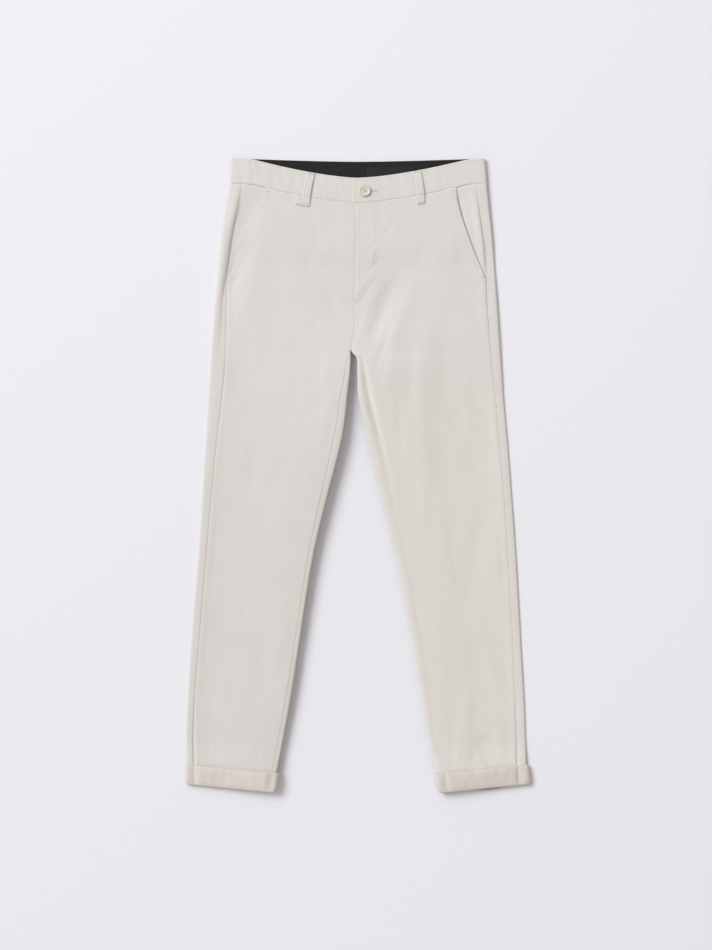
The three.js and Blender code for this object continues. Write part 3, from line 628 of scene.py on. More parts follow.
def heights(*runs):
    """Rows at the given spacings: (from, to, step) for each run."""
    rows = []
    for low, high, step in runs:
        rows += list(np.linspace(low, high, max(int(round((high - low) / step)), 1) + 1)[:-1])
    return rows + [runs[-1][1]]


def make_mesh(name, points, quads, uvs=None):
    mesh = bpy.data.meshes.new(name)
    mesh.from_pydata((np.asarray(points) * MM).tolist(), [], [tuple(q) for q in quads])
    if uvs is not None:
        layer = mesh.uv_layers.new(name="grain")
        index = np.empty(len(mesh.loops), dtype=np.int32)
        mesh.loops.foreach_get("vertex_index", index)
        layer.data.foreach_set("uv", (np.asarray(uvs)[index] * MM).ravel())
    mesh.validate()
    mesh.shade_smooth()
    thing = bpy.data.objects.new(name, mesh)
    bpy.context.scene.collection.objects.link(thing)
    face_out(thing)
    return thing


def face_out(thing):
    bm = bmesh.new()
    bm.from_mesh(thing.data)
    bmesh.ops.recalc_face_normals(bm, faces=bm.faces)
    if bm.calc_volume(signed=True) < 0:
        bmesh.ops.reverse_faces(bm, faces=bm.faces)
    bm.to_mesh(thing.data)
    bm.free()


def shell(name, layers, uv_rows):
    """A closed shell from layers of grids: the outer one, the rim's middle, the inner one.

    The middle layer is used only round the rim, which it makes round.
    """
    outer, middle, inner = layers
    rows, cols = outer.shape[:2]
    border = [(0, j) for j in range(cols)]
    border += [(i, cols - 1) for i in range(1, rows)]
    border += [(rows - 1, j) for j in range(cols - 2, -1, -1)]
    border += [(i, 0) for i in range(rows - 2, 0, -1)]
    points = np.concatenate([
        outer.reshape(-1, 3),
        inner.reshape(-1, 3),
        np.array([middle[i, j] for i, j in border]),
    ])
    uv = np.concatenate([
        uv_rows.reshape(-1, 2),
        uv_rows.reshape(-1, 2),
        np.array([uv_rows[i, j] for i, j in border]),
    ])
    size = rows * cols
    quads = []
    for i in range(rows - 1):
        for j in range(cols - 1):
            a, b, c, d = (i * cols + j, (i + 1) * cols + j, (i + 1) * cols + j + 1, i * cols + j + 1)
            quads.append((a, b, c, d))
            quads.append((size + a, size + d, size + c, size + b))
    count = len(border)
    for k, (i, j) in enumerate(border):
        m, n = border[(k + 1) % count]
        here, there = i * cols + j, m * cols + n
        rim, next_rim = 2 * size + k, 2 * size + (k + 1) % count
        quads.append((here, there, next_rim, rim))
        quads.append((rim, next_rim, size + there, size + here))
    return make_mesh(name, points, quads, uv)


def panel(name, side, downs, path_at, columns, thickness, turn, dense=2.2, reach=9.0):
    """A cloth shell over a panel's sections. Returns the object and its cut area."""
    layers = [[], [], []]
    uv_rows = []
    widths = []
    for down in downs:
        path = path_at(side, down)
        marks = arc_lengths(path)
        lengths = spread(marks[-1], columns, dense, reach)
        widths.append(marks[-1])
        for layer, depth in zip(layers, (0, thickness / 2, thickness)):
            out, z, flag = sample(inset(path, depth, turn), marks, lengths)
            layer.append(place(side, out, z, down, flag > 0.5))
        uv_rows.append(np.stack([lengths, np.full(columns, float(down))], axis=-1))
    grids = [np.array(layer) for layer in layers]
    push_rim(grids, thickness * 0.45)
    area = float(np.trapz(widths, downs)) * MM * MM
    flat = (max(widths) * MM, (downs[-1] - downs[0]) * MM)
    thing = shell(name, grids, np.array(uv_rows))
    return thing, flat, area


def push_rim(grids, out_by):
    """Moves the rim's middle outwards, so that an edge of cloth looks rolled."""
    outer, middle, _ = grids
    for line, inside in (
        ((0, slice(None)), (1, slice(None))),
        ((-1, slice(None)), (-2, slice(None))),
        ((slice(None), 0), (slice(None), 1)),
        ((slice(None), -1), (slice(None), -2)),
    ):
        away = outer[line] - outer[inside]
        away = away / np.maximum(np.linalg.norm(away, axis=-1, keepdims=True), 1e-6)
        middle[line] = middle[line] + away * out_by


def dress(thing, node, slot, material):
    """Gives a piece its material and its place in the frame."""
    thing.data.materials.clear()
    thing.data.materials.append(material)
    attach(thing, "root")
    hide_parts(*([node] if isinstance(node, str) else node))
    return thing


# Materials
def new_material(name):
    material = bpy.data.materials.new(name)
    material.use_nodes = True
    nodes = material.node_tree.nodes
    return material, nodes, material.node_tree.links, nodes["Principled BSDF"]


def ramp_colors(nodes, links, factor, low, high):
    ramp = nodes.new("ShaderNodeMix")
    ramp.data_type = "RGBA"
    ramp.inputs["A"].default_value = (*low, 1)
    ramp.inputs["B"].default_value = (*high, 1)
    links.new(factor, ramp.inputs["Factor"])
    return ramp.outputs["Result"]


def noise_node(nodes, links, vector, scale, detail=2.0):
    node = nodes.new("ShaderNodeTexNoise")
    node.inputs["Scale"].default_value = scale
    node.inputs["Detail"].default_value = detail
    links.new(vector, node.inputs["Vector"])
    return node.outputs["Fac"]


def math_node(nodes, links, operation, a, b):
    node = nodes.new("ShaderNodeMath")
    node.operation = operation
    for socket, value in zip(node.inputs, (a, b)):
        if isinstance(value, (int, float)):
            socket.default_value = value
        else:
            links.new(value, socket)
    return node.outputs[0]


def bump(nodes, links, height, distance, strength, normal=None):
    node = nodes.new("ShaderNodeBump")
    node.inputs["Distance"].default_value = distance
    node.inputs["Strength"].default_value = strength
    links.new(height, node.inputs["Height"])
    if normal is not None:
        links.new(normal, node.inputs["Normal"])
    return node.outputs["Normal"]


def wave_lines(nodes, links, vector, pitch, turn):
    """Diagonal lines of the given pitch, in metres, turned from the warp."""
    mapping = nodes.new("ShaderNodeMapping")
    mapping.inputs["Rotation"].default_value = (0, 0, turn)
    links.new(vector, mapping.inputs["Vector"])
    wave = nodes.new("ShaderNodeTexWave")
    wave.inputs["Scale"].default_value = math.pi / 10 / pitch
    wave.inputs["Distortion"].default_value = 0.6
    wave.inputs["Detail"].default_value = 1.0
    wave.inputs["Detail Scale"].default_value = 2.0
    links.new(mapping.outputs["Vector"], wave.inputs["Vector"])
    return wave.outputs["Fac"]


def stretched(nodes, links, vector, scale):
    mapping = nodes.new("ShaderNodeMapping")
    mapping.inputs["Scale"].default_value = scale
    links.new(vector, mapping.inputs["Vector"])
    return mapping.outputs["Vector"]


def painted_leg_tone(nodes, links, vector, color, lower):
    """Multiplies a colour by another one below the crotch, as painted shade or painted light on a leg.
    """
    split = nodes.new("ShaderNodeSeparateXYZ")
    links.new(vector, split.inputs["Vector"])
    ramp = nodes.new("ShaderNodeMapRange")
    ramp.inputs["From Min"].default_value = 0.22
    ramp.inputs["From Max"].default_value = 0.50
    links.new(split.outputs["Y"], ramp.inputs["Value"])
    blend = nodes.new("ShaderNodeMix")
    blend.data_type = "RGBA"
    blend.blend_type = "MULTIPLY"
    links.new(ramp.outputs["Result"], blend.inputs["Factor"])
    links.new(color, blend.inputs["A"])
    blend.inputs["B"].default_value = (*lower, 1)
    return blend.outputs["Result"]


# lower multiplies the colour below the crotch, which paints shade or light onto a leg.
def twill(name, light, dark, lower=(1, 1, 1)):
    material, nodes, links, shader = new_material(name)
    grain = nodes.new("ShaderNodeUVMap")
    grain.uv_map = "grain"
    vector = grain.outputs["UV"]
    mottle = noise_node(nodes, links, vector, 16, 3)
    slub = noise_node(nodes, links, vector, 900, 2)
    warp = noise_node(nodes, links, stretched(nodes, links, vector, (1, 0.12, 1)), 420, 2)
    weft = noise_node(nodes, links, stretched(nodes, links, vector, (0.12, 1, 1)), 420, 2)
    streaks = math_node(nodes, links, "ADD", warp, weft)
    lines = wave_lines(nodes, links, vector, 0.00075, math.radians(32))
    shade = -0.4
    for pattern, weight in ((mottle, 0.55), (slub, 0.25), (lines, 0.18), (streaks, 0.4)):
        weighted = math_node(nodes, links, "MULTIPLY", pattern, weight)
        shade = math_node(nodes, links, "ADD", weighted, shade)
    color = ramp_colors(nodes, links, shade, dark, light)
    links.new(painted_leg_tone(nodes, links, vector, color, lower), shader.inputs["Base Color"])
    soft = bump(nodes, links, noise_node(nodes, links, vector, 260, 3), 0.00012, 0.5)
    weave = bump(nodes, links, lines, 0.00008, 0.5, soft)
    links.new(weave, shader.inputs["Normal"])
    shader.inputs["Roughness"].default_value = 0.88
    shader.inputs["Specular IOR Level"].default_value = 0.25
    shader.inputs["Sheen Weight"].default_value = 0.12
    shader.inputs["Sheen Roughness"].default_value = 0.5
    return material


def plain(name, color, roughness, specular=0.5, grain_scale=0.0, depth=0.0):
    material, nodes, links, shader = new_material(name)
    shader.inputs["Roughness"].default_value = roughness
    shader.inputs["Specular IOR Level"].default_value = specular
    coord = nodes.new("ShaderNodeTexCoord")
    scale = grain_scale or 400
    fac = noise_node(nodes, links, coord.outputs["Object"], scale, 2)
    darker = tuple(c * 0.86 for c in color)
    links.new(ramp_colors(nodes, links, fac, darker, color), shader.inputs["Base Color"])
    if depth:
        links.new(bump(nodes, links, fac, depth, 0.6), shader.inputs["Normal"])
    return material


def tape_material():
    material, nodes, links, shader = new_material("black_tape")
    grain = nodes.new("ShaderNodeUVMap")
    grain.uv_map = "grain"
    lines = wave_lines(nodes, links, grain.outputs["UV"], 0.0009, math.radians(90))
    cross = wave_lines(nodes, links, grain.outputs["UV"], 0.0008, 0)
    both = math_node(nodes, links, "MULTIPLY", lines, cross)
    links.new(
        ramp_colors(nodes, links, both, (0.007, 0.007, 0.0075), (0.015, 0.015, 0.016)),
        shader.inputs["Base Color"],
    )
    links.new(bump(nodes, links, both, 0.0001, 0.6), shader.inputs["Normal"])
    shader.inputs["Roughness"].default_value = 0.75
    shader.inputs["Specular IOR Level"].default_value = 0.3
    shader.inputs["Sheen Weight"].default_value = 0.05
    return material


LIGHT, DARK = (0.722, 0.690, 0.655), (0.634, 0.604, 0.572)
TWILL = twill("chino_twill", LIGHT, DARK)
# Below the crotch the leg twills carry painted light: the wearer's right leg is darkened as painted
# shade and the left leg lightened as painted light, offsetting how the key light falls on the tilted
# legs.
LEGS = {
    "right": twill("twill_right_painted_shade", LIGHT, DARK, (0.945, 0.940, 0.930)),
    "left": twill("twill_left_painted_light", LIGHT, DARK, (1.030, 1.022, 1.005)),
}
INSIDE = twill("twill_inside", (0.690, 0.642, 0.592), (0.601, 0.556, 0.509))
TAPE = tape_material()
SATIN = plain("black_satin", (0.012, 0.012, 0.013), 0.5, 0.3, 700, 0.00005)
THREAD = plain("thread", (0.66, 0.615, 0.55), 0.7, 0.3, 2500, 0.0001)
DARK_THREAD = plain("dark_thread", (0.03, 0.03, 0.032), 0.7, 0.3, 2500, 0.0001)
RESIN = plain("button_resin", (0.70, 0.67, 0.55), 0.38, 0.5, 120, 0.00004)


# Panels
ROWS = heights(
    (BELOW_BAND, BELOW_BAND + 4, 1.0),
    (BELOW_BAND + 4, FORK_DOWN - FORK_EDGE, 4.0),
    (FORK_DOWN - FORK_EDGE, FORK_DOWN, 0.7),
    (FORK_DOWN, 330, 1.5),
    (330, 940, 4.2),
    (940, CUFF_TOP, 2.0),
    (CUFF_TOP, CUFF_BOTTOM - 1.4, 8.0),
)
FACING_ROWS = heights((BELOW_BAND, POCKET["end"], 3.0))
BAND_ROWS = [0, 0.35, 1.0, 2.0, 3.2, 4.6, 7, 10, 14, 19, 24, 29, 33, 35.5, 37.2, 38.2, BAND_HEIGHT]


def cloth_panel(node, side, downs, path_at, columns, thickness, turn, **spacing):
    thing, flat, area = panel(
        node + "_cloth", side, downs, path_at, columns, thickness, turn, **spacing
    )
    dress(thing, node, "twill", LEGS[side["name"]])
    return thing


for name, side in SIDES.items():
    cloth_panel(f"front_{name}", side, ROWS, front_path, 86, CLOTH, -1)
    cloth_panel(f"back_{name}", side, ROWS, back_path, 104, CLOTH, 1, dense=3.0, reach=14)
    cloth_panel(f"pocket_facing_{name}", side, FACING_ROWS, facing_path, 24, CLOTH, -1)
    cloth_panel(f"waistband_{name}", side, BAND_ROWS, band_path, 230, BAND_CLOTH, -1, dense=1.5)


# Turn-ups
TURN_UP = CUFF_BOTTOM - CUFF_TOP
CUFF_SIDE = [31.0, 30.6, 29.9, 28.8, 27, 24.5, 21.5, 18.5, 15.5, 12.5, 9.5, 7, 5, 3.4, 2.3]
CUFF_ROUND = 1.7
CUFF_LIP = 1.2
# Where a turn-up gapes at its top: [x, half width, how far]
GAPES = [[-149, 12, 1.3], [222, 24, 1.5], [-228, 30, 0.7], [166, 20, 0.6]]


def cuff_section():
    """Outside and inside of a turn-up's section: (depth into the leg, height above the hem)."""
    outer = [(-CUFF_OUTSET, h) for h in CUFF_SIDE]
    inner = [(-CUFF_CLEARANCE, h) for h in CUFF_SIDE]
    for a in np.linspace(0, math.pi / 2, 8):
        drop = CUFF_ROUND * (1 - math.sin(a))
        outer.append((-CUFF_OUTSET + CUFF_ROUND * (1 - math.cos(a)), drop))
        inner.append((-CUFF_CLEARANCE + 0.04 * a, CUFF_LIP + 0.5 * drop))
    return outer + [(0.2, 0), (CLOTH, 0)], inner + [(0.5, CUFF_LIP), (CLOTH, CUFF_LIP)]


# Height above the hem, and share of the puff outside and inside the turn-up
PUFF_SHARES = [
    [0, 0.0, 0.0], [1.7, 0.35, 0.1], [4, 0.6, 0.4], [7, 0.85, 0.7], [15.5, 1.0, 0.95],
    [24, 0.92, 0.8], [28, 0.75, 0.5], [30, 0.55, 0.3], [31, 0.45, 0.2],
]


def cuff_puff(side, path, marks, height, layer):
    """How far the turn-up stands off the leg: a soft roll, uneven, drawn in at its seams."""
    out, z, _ = path
    level, outside, inside = np.array(PUFF_SHARES).T
    share = float(np.interp(height, level, (outside, (outside + inside) / 2, inside)[layer]))
    free = mix(0.25, 1, smooth(0, 10, np.minimum(marks, marks[-1] - marks)))
    waves = 0.55 * noise(out / 13, height / 22, 91 + side["sign"])
    waves = waves + 0.3 * noise(out / 6, height / 12, 93) * smooth(0, 6, height)
    crumple = 0.3 * noise(out / 4.5, height / 40, 95) * math.exp(-(TURN_UP - height) / 6)
    x = side["sign"] * out
    gape = sum(far * bell(x - at, half) for at, half, far in GAPES)
    gape = gape * float(smooth(12, TURN_UP, height))
    puff = (CUFF_PUFF * share + waves * share ** 0.5 + crumple) * free + gape
    return puff * smooth(2.5, 6, z)


def peek(side, out, height, flag):
    """The back's turn-up hangs lower than the front's for a stretch of the wearer's left hem."""
    if side["sign"] < 0:
        return 0 * out
    return 2.6 * np.exp(-(((out - 214) / 24) ** 4)) * (1 - flag) * float(1 - smooth(4, 16, height))


def turn_up(name, side, path_at, columns, turn, **spacing):
    outer, inner = cuff_section()
    layers = [[], [], []]
    uv_rows = []
    width = 0
    for k, (out_point, in_point) in enumerate(zip(outer, inner)):
        middle = tuple((a + b) / 2 for a, b in zip(out_point, in_point))
        run = 0
        for which, (depth, height) in enumerate((out_point, middle, in_point)):
            down = CUFF_BOTTOM - height
            path = path_at(side, down)
            marks = arc_lengths(path)
            lengths = spread(marks[-1], columns, **spacing)
            puff = cuff_puff(side, path, marks, height, which)
            moved = inset(path, depth - puff * (depth < 0), turn)
            out, z, flag = sample(moved, marks, lengths)
            lower = peek(side, out, height, flag)
            points = place(side, out, np.maximum(z, 0.02), down, flag > 0.5)
            points[:, 1] -= lower
            layers[which].append(points)
            width, run = max(width, marks[-1]), lengths
        uv_rows.append(np.stack([run, np.full(columns, float(k) * 2)], axis=-1))
    grids = [np.array(layer) for layer in layers]
    push_rim(grids, 0.9)
    thing = shell(name + "_turned", grids, np.array(uv_rows))
    dress(thing, name, "twill", INSIDE)


for name, side in SIDES.items():
    turn_up(f"cuff_back_{name}", side, back_path, 150, 1, dense=3.0, reach=14)
    turn_up(f"cuff_front_{name}", side, front_path, 90, -1, dense=2.2, reach=9)


# Small pieces that lie on the garment. Their places are as seen from above.
def pattern_down(side, out, down, is_front=True):
    """The height on the pattern of a place that the waist's dip has carried down."""
    found = np.asarray(down, float)
    for _ in range(8):
        found = down - carried_at(side, out, found, is_front)
    return found


def carried_at(side, out, down, is_front):
    return float(carried(side, np.array([out]), float(down), is_front)[0])


def surface_z(side, out, down):
    """Height of the front's or waistband's surface at a place seen from above."""
    at = float(pattern_down(side, out, down))
    here = np.array([float(out)])
    surface = band_top if at < BELOW_BAND - 0.2 else top_at
    return float(surface(side, here, max(at, 0))[0])


def on_front(x, down, lift=0.0):
    side = SIDES["left"] if x >= CENTRE["waist"] else SIDES["right"]
    z = surface_z(side, side["sign"] * x, down)
    return np.array([x, LENGTH / 2 - down, z + lift])


def strip(name, side, rows, thickness_rim=0.5):
    """A closed strip from rows of (out, down, low, high) points."""
    data = np.array(rows, float)
    x, y = side["sign"] * data[..., 0], LENGTH / 2 - data[..., 1]
    low, high = data[..., 2], data[..., 3]
    grids = [np.stack([x, y, z], axis=-1) for z in (high, (low + high) / 2, low)]
    push_rim(grids, thickness_rim)
    return shell(name, grids, data[..., :2])


def lay_strip(name, node, side, rows, rim, look):
    """Makes a strip and gives it its material. look holds a slot, which is not used, and the material.
    """
    thing = strip(name, side, rows, rim)
    dress(thing, node, *look)


def rounded(t):
    """How much an edge of a strip is turned down, from 0 in the middle to 1 at the rim."""
    return 1 - math.sqrt(max(1 - t * t, 0))


LOOP = {"width": 12.4, "thick": 1.2, "edge": 0.4, "below": 9, "arch": 1.3, "lean": 0.16, "rim": 0.35}
FRONT_LOOPS = [
    {"node": "belt_loop_front_right", "side": "right", "top": 74.5, "bottom": 83.5, "tab": 10.5,
     "below": 16},
    {"node": "belt_loop_front_left", "side": "left", "top": 94.5, "bottom": 101, "tab": 0,
     "below": 15},
]
BACK_LOOPS = {"belt_loop_back_right": -112, "belt_loop_centre_back": -4, "belt_loop_back_left": 104}
LOOP_STEPS = sorted([*np.linspace(0, 1, 44), 0.012, 0.03, 0.765, 0.775, 0.785, 0.97, 0.988])
LOOP_ACROSS = [-1, -0.95, -0.86, -0.74, -0.64, -0.5, -0.25, 0, 0.25, 0.5, 0.64, 0.74, 0.86, 0.95, 1]


def loop_point(spec, t, across):
    """A place on a front belt loop: out, down, underside and top. across is 1 at its outer edge."""
    side = SIDES[spec["side"]]
    half = LOOP["width"] / 2
    top = carried_at(side, spec["top"], 0, True) + LOOP["edge"]
    seam = carried_at(side, spec["bottom"], BAND_HEIGHT, True) + BAND_HEIGHT
    middle = mix(spec["top"], spec["bottom"], t) + 1.2 * math.sin(math.pi * t)
    wide = spec["tab"] * float(smooth(0.765, 0.785, t))
    offset = across * half + (wide * (1 + across) / 2)
    down = mix(top, seam + spec["below"], t) - LOOP["lean"] * offset
    rise = 0.12 + LOOP["arch"] * math.sin(math.pi * t) ** 0.7
    low = surface_z(side, middle + offset, down) + rise
    folded = 0.25 * (math.exp(-t / 0.02) + math.exp(-(1 - t) / 0.02))
    crown = LOOP["thick"] - 0.35 * rounded(across) + 0.12 * math.cos(across * 9) + folded
    return middle + offset, down, low, low + crown


def front_loop(spec):
    side = SIDES[spec["side"]]
    rows = [[loop_point(spec, t, a) for a in LOOP_ACROSS] for t in LOOP_STEPS]
    name, on = spec["node"] + "_sewn", "waistband_left_cloth"
    lay_strip(name, spec["node"], side, rows, LOOP["rim"], ("twill", TWILL))


def back_loop(node, x):
    side = SIDES["left"]
    half = LOOP["width"] / 2
    top = carried_at(side, x, 0, False) + LOOP["edge"]
    bottom = carried_at(side, x, BAND_HEIGHT, False) + BAND_HEIGHT + LOOP["below"]
    rows = []
    for t in LOOP_STEPS:
        high = SEAT["lift"] - 0.15 - 0.6 * math.sin(math.pi * t) ** 0.7
        row = []
        for a in LOOP_ACROSS:
            low = high - LOOP["thick"] + 0.3 * rounded(a) - 0.1 * math.cos(a * 9)
            row.append((x + a * half, mix(top, bottom, t), max(low, 0.03), high))
        rows.append(row)
    lay_strip(node + "_sewn", node, side, rows, LOOP["rim"], ("twill", TWILL))


for spec in FRONT_LOOPS:
    front_loop(spec)
for node, x in BACK_LOOPS.items():
    back_loop(node, x)

LINING = {"half": 193, "thick": 1.0, "height": 38, "stitch": 10.5, "top_stitch": 1.9}
LABEL = {"from": 15, "to": 90, "top": 13, "height": 24, "thick": 0.5}
LINING_LOW = SEAT["lift"] + BAND_CLOTH + 0.15


def tape_top(x, height):
    wave = 0.25 * float(noise(x / 19, height / 14, 101)) + 0.12 * float(noise(x / 6, height / 9, 102))
    groove = 0.3 * math.exp(-((height - LINING["stitch"]) ** 2))
    return LINING_LOW + LINING["thick"] + wave - groove


def tape_down(x, height):
    side = SIDES["right"] if x < 0 else SIDES["left"]
    return height + carried_at(side, abs(x), 0, False)


def tape():
    heights_down = [0.2, 0.6, 1.4, 3, 5, 7, 8.5, 9.6, 10.5, 11.4, 12.5, 14, 17, 20, 24, 28, 33, 38]
    columns = np.linspace(-LINING["half"], LINING["half"], 200)
    rows = [
        [(x, tape_down(x, h), LINING_LOW, tape_top(x, h)) for x in columns] for h in heights_down
    ]
    size, look, on = (2 * LINING["half"], LINING["height"]), ("tape", TAPE), "waistband_left_cloth"
    lay_strip("waistband_tape", "waistband_lining", SIDES["left"], rows, 0.3, look)


def patch_top(x, down):
    edge = min(x - LABEL["from"], LABEL["to"] - x, down - LABEL["top"], 6.0)
    wave = 0.15 * float(noise(x / 14, down / 9, 111))
    return LINING_LOW + LINING["thick"] + 0.45 + LABEL["thick"] + wave - 0.2 * math.exp(-edge / 0.7)


def patch():
    low = LINING_LOW + LINING["thick"] - 0.1
    xs = [LABEL["from"] + d for d in (0, 0.3, 0.9, 1.8, 3)]
    xs += list(np.linspace(LABEL["from"] + 5, LABEL["to"] - 5, 40))
    xs += [LABEL["to"] - d for d in (3, 1.8, 0.9, 0.3, 0)]
    downs = [LABEL["top"] + d for d in (0, 0.3, 0.9, 1.8, 3, 5, 7.5, 10, 13, 17, 21, 24)]
    rows = [[(x, d, low, patch_top(x, d)) for x in xs] for d in downs]
    size, look = (LABEL["to"] - LABEL["from"], LABEL["height"]), ("satin", SATIN)
    lay_strip("bare_label", "label", SIDES["left"], rows, 0.15, look)


tape()
patch()


# Sewing: each stitch is a short length of thread, lying in the dent it makes
THREAD_SIDES = 6
STITCH_FORM = [(0.0, 0.3, -0.7), (0.16, 0.9, 0.1), (0.5, 1.0, 0.45), (0.84, 0.9, 0.1), (1.0, 0.3, -0.7)]


def stitches_along(points, length=2.5, gap=0.7):
    """Pairs of end points for stitches that follow a line of points."""
    points = np.asarray(points, float)
    steps = np.linalg.norm(np.diff(points, axis=0), axis=1)
    marks = np.concatenate([[0], np.cumsum(steps)])
    count = max(int(marks[-1] // (length + gap)), 1)
    starts = np.arange(count) * (length + gap) + gap / 2
    ends = np.minimum(starts + length, marks[-1])

    def at(where):
        return np.stack([np.interp(where, marks, points[:, k]) for k in range(3)], axis=-1)

    return np.stack([at(starts), at(ends)], axis=1)


def thread(name, pairs, radius, material=None, up=1.0):
    """One joined mesh of stitches between the given pairs of points."""
    pairs = np.concatenate(pairs)
    start, end = pairs[:, 0], pairs[:, 1]
    along = end - start
    along /= np.maximum(np.linalg.norm(along, axis=1, keepdims=True), 1e-9)
    upward = np.tile([0.0, 0.0, up], (len(pairs), 1))
    across = np.cross(along, upward)
    across /= np.maximum(np.linalg.norm(across, axis=1, keepdims=True), 1e-9)
    upward = np.cross(across, along)
    rings = []
    for t, wide, lift in STITCH_FORM:
        middle = start + (end - start) * t + upward * lift * radius
        for k in range(THREAD_SIDES):
            a = 2 * math.pi * k / THREAD_SIDES
            rings.append(middle + radius * wide * (math.cos(a) * across + math.sin(a) * upward))
    points = np.stack(rings, axis=1)
    per = points.shape[1]
    pattern = []
    for r in range(len(STITCH_FORM) - 1):
        for k in range(THREAD_SIDES):
            a, b = r * THREAD_SIDES + k, r * THREAD_SIDES + (k + 1) % THREAD_SIDES
            pattern.append((a, b, b + THREAD_SIDES, a + THREAD_SIDES))
    pattern.append(tuple(range(THREAD_SIDES)))
    pattern.append(tuple(reversed(range(per - THREAD_SIDES, per))))
    faces = [tuple(i * per + v for v in face) for i in range(len(pairs)) for face in pattern]
    mesh = bpy.data.meshes.new(name)
    mesh.from_pydata((points.reshape(-1, 3) * MM).tolist(), [], faces)
    mesh.shade_smooth()
    thing = bpy.data.objects.new(name, mesh)
    bpy.context.scene.collection.objects.link(thing)
    face_out(thing)
    mesh.materials.append(material or THREAD)
    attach(thing, "root")
    return thing


STITCH_LIFT = 0.05


def pattern_row(side, surface, places):
    """Stitches along a line of places that are stated on the pattern: (out, down)."""
    points = []
    for out, down in places:
        here = np.array([float(out)])
        z = surface(side, here, down) + STITCH_LIFT
        points.append(place(side, here, z, float(down), True)[0])
    return stitches_along(points)


def every(low, high, step=1.5):
    return np.linspace(low, high, max(int((high - low) / step), 2))


def bar_tack(middle, direction, length, width, pitch=0.45):
    """A short dense row of stitches across a line, as pairs of points seen from above."""
    direction = np.array(direction, float) / math.hypot(*direction)
    across = np.array([-direction[1], direction[0]])
    pairs = []
    for d in np.arange(-length / 2, length / 2, pitch):
        centre_at = np.array(middle) + direction * d
        ends = [centre_at - across * width / 2, centre_at + across * width / 2]
        pairs.append([on_front(x, down, 0.02) for x, down in ends])
    return np.array(pairs)


def panel_sewing():
    rows = []
    top, low = BELOW_BAND + 1.5, CUFF_TOP - 6
    for side in SIDES.values():
        for away in (1.6, 7.4):
            mouth = [(front_edge(side, d) - away, d) for d in every(top, POCKET["to"] - 4)]
            rows.append(pattern_row(side, top_at, mouth))
        seam = [(column(side, "side", d) + 1.8, d) for d in every(top, low)]
        inseam = [
            (column(side, "inner", d) + column(side, "inset", d) + 2.0, d) for d in every(336, low)
        ]
        rows += [pattern_row(side, top_at, seam), pattern_row(side, top_at, inseam)]
    left = SIDES["left"]
    for away, end in ((1.8, FORK_DOWN - 6), (6.2, FLY["end"] - 6)):
        line = [(centre(left, d) + away, d) for d in every(top, end)]
        rows.append(pattern_row(left, top_at, line))
    return rows


# The fly's curved double row, as seen from above: [x, down]
FLY_ROWS = [
    [
        [27.3, 69], [27.3, 110], [27.2, 145], [25.6, 165],
        [19.6, 187], [9.5, 205], [0.6, 217], [-4.5, 223],
    ],
    [
        [33.4, 68], [33.4, 112], [33.0, 148], [30.6, 170],
        [24.0, 193], [13.5, 211], [3.4, 224], [-4.0, 231],
    ],
]


def eased(corners, count):
    """A smooth line through its corners."""
    corners = np.array(corners, float)
    reach = np.concatenate([[0], np.cumsum(np.hypot(*np.diff(corners, axis=0).T))])
    slopes = np.gradient(corners, reach, axis=0)
    found = []
    for s in np.linspace(0, reach[-1], count):
        k = min(max(int(np.searchsorted(reach, s)) - 1, 0), len(reach) - 2)
        span = reach[k + 1] - reach[k]
        t = (s - reach[k]) / span
        found.append(curve(corners[k], corners[k + 1], slopes[k], slopes[k + 1], span, t))
    return found


def fly_sewing():
    rows = []
    for corners in FLY_ROWS:
        line = [on_front(x, d, STITCH_LIFT) for x, d in eased(corners, 110)]
        rows.append(stitches_along(line))
    rows.append(bar_tack((-2.6, 228), (0.1, 1), 7, 2.2))
    rows.append(bar_tack((25.6, 166), (0.35, 1), 5, 1.3))
    return rows


def band_sewing():
    rows = []
    for side in SIDES.values():
        end = BAND_FRONT["end"] + 1.5 if side["sign"] > 0 else -BAND_FRONT["end"] + 1.0
        outs = every(end, column(side, "outer", 20) - 5)
        for down in (1.9, BAND_HEIGHT - 1.7):
            rows.append(pattern_row(side, band_top, [(out, down) for out in outs]))
    end = [(BAND_FRONT["end"] + 1.8, d) for d in every(2.5, BAND_HEIGHT - 2.2)]
    return rows + [pattern_row(SIDES["left"], band_top, end)]


def loop_sewing():
    rows = []
    for spec in FRONT_LOOPS:
        side = SIDES[spec["side"]]

        def at(t, across):
            out, down, _, high = loop_point(spec, t, across)
            return [side["sign"] * out, LENGTH / 2 - down, high + 0.03]

        for across in (-0.62, 0.62):
            rows.append(stitches_along([at(t, across) for t in np.linspace(0.04, 0.76, 40)]))
        for t in (0.035, 0.955):
            rows.append(np.array([
                [at(t - 0.02, a), at(t + 0.02, a + 0.05)] for a in np.arange(-0.8, 0.78, 0.075)
            ]))
    return rows


def pocket_tacks():
    rows = []
    for side in SIDES.values():
        for down in (BELOW_BAND + 5, POCKET["to"] - 5):
            out = front_edge(side, down) - 4.5
            at = down + carried_at(side, out, down, True)
            rows.append(bar_tack((side["sign"] * out, at), (1, 0), 7.0, 1.5))
    return rows


def buttonhole():
    """Satin stitches round a slot, as pairs of points."""
    pairs = []
    left, right, down, half = 6.0, 30.5, 51.0, 0.35
    for x in np.arange(left, right, 0.42):
        for way in (-1, 1):
            pairs.append([on_front(x, down + way * half, 0.02), on_front(x, down + way * 2.0, 0.0)])
    for a in np.linspace(-1.4, 1.4, 9):
        near = (right + half * math.cos(a), down + half * math.sin(a))
        far = (right + 2.0 * math.cos(a), down + 2.0 * math.sin(a))
        pairs.append([on_front(*near, 0.02), on_front(*far, 0.0)])
    return [np.array(pairs)]


def back_loop_sewing():
    rows = []
    for x in BACK_LOOPS.values():
        side = SIDES["left"]
        top = carried_at(side, x, 0, False)
        for offset in (-4.1, 4.1):
            line = [[x + offset, LENGTH / 2 - top - d, 0.32] for d in every(2, 44)]
            rows.append(stitches_along(line))
    return rows


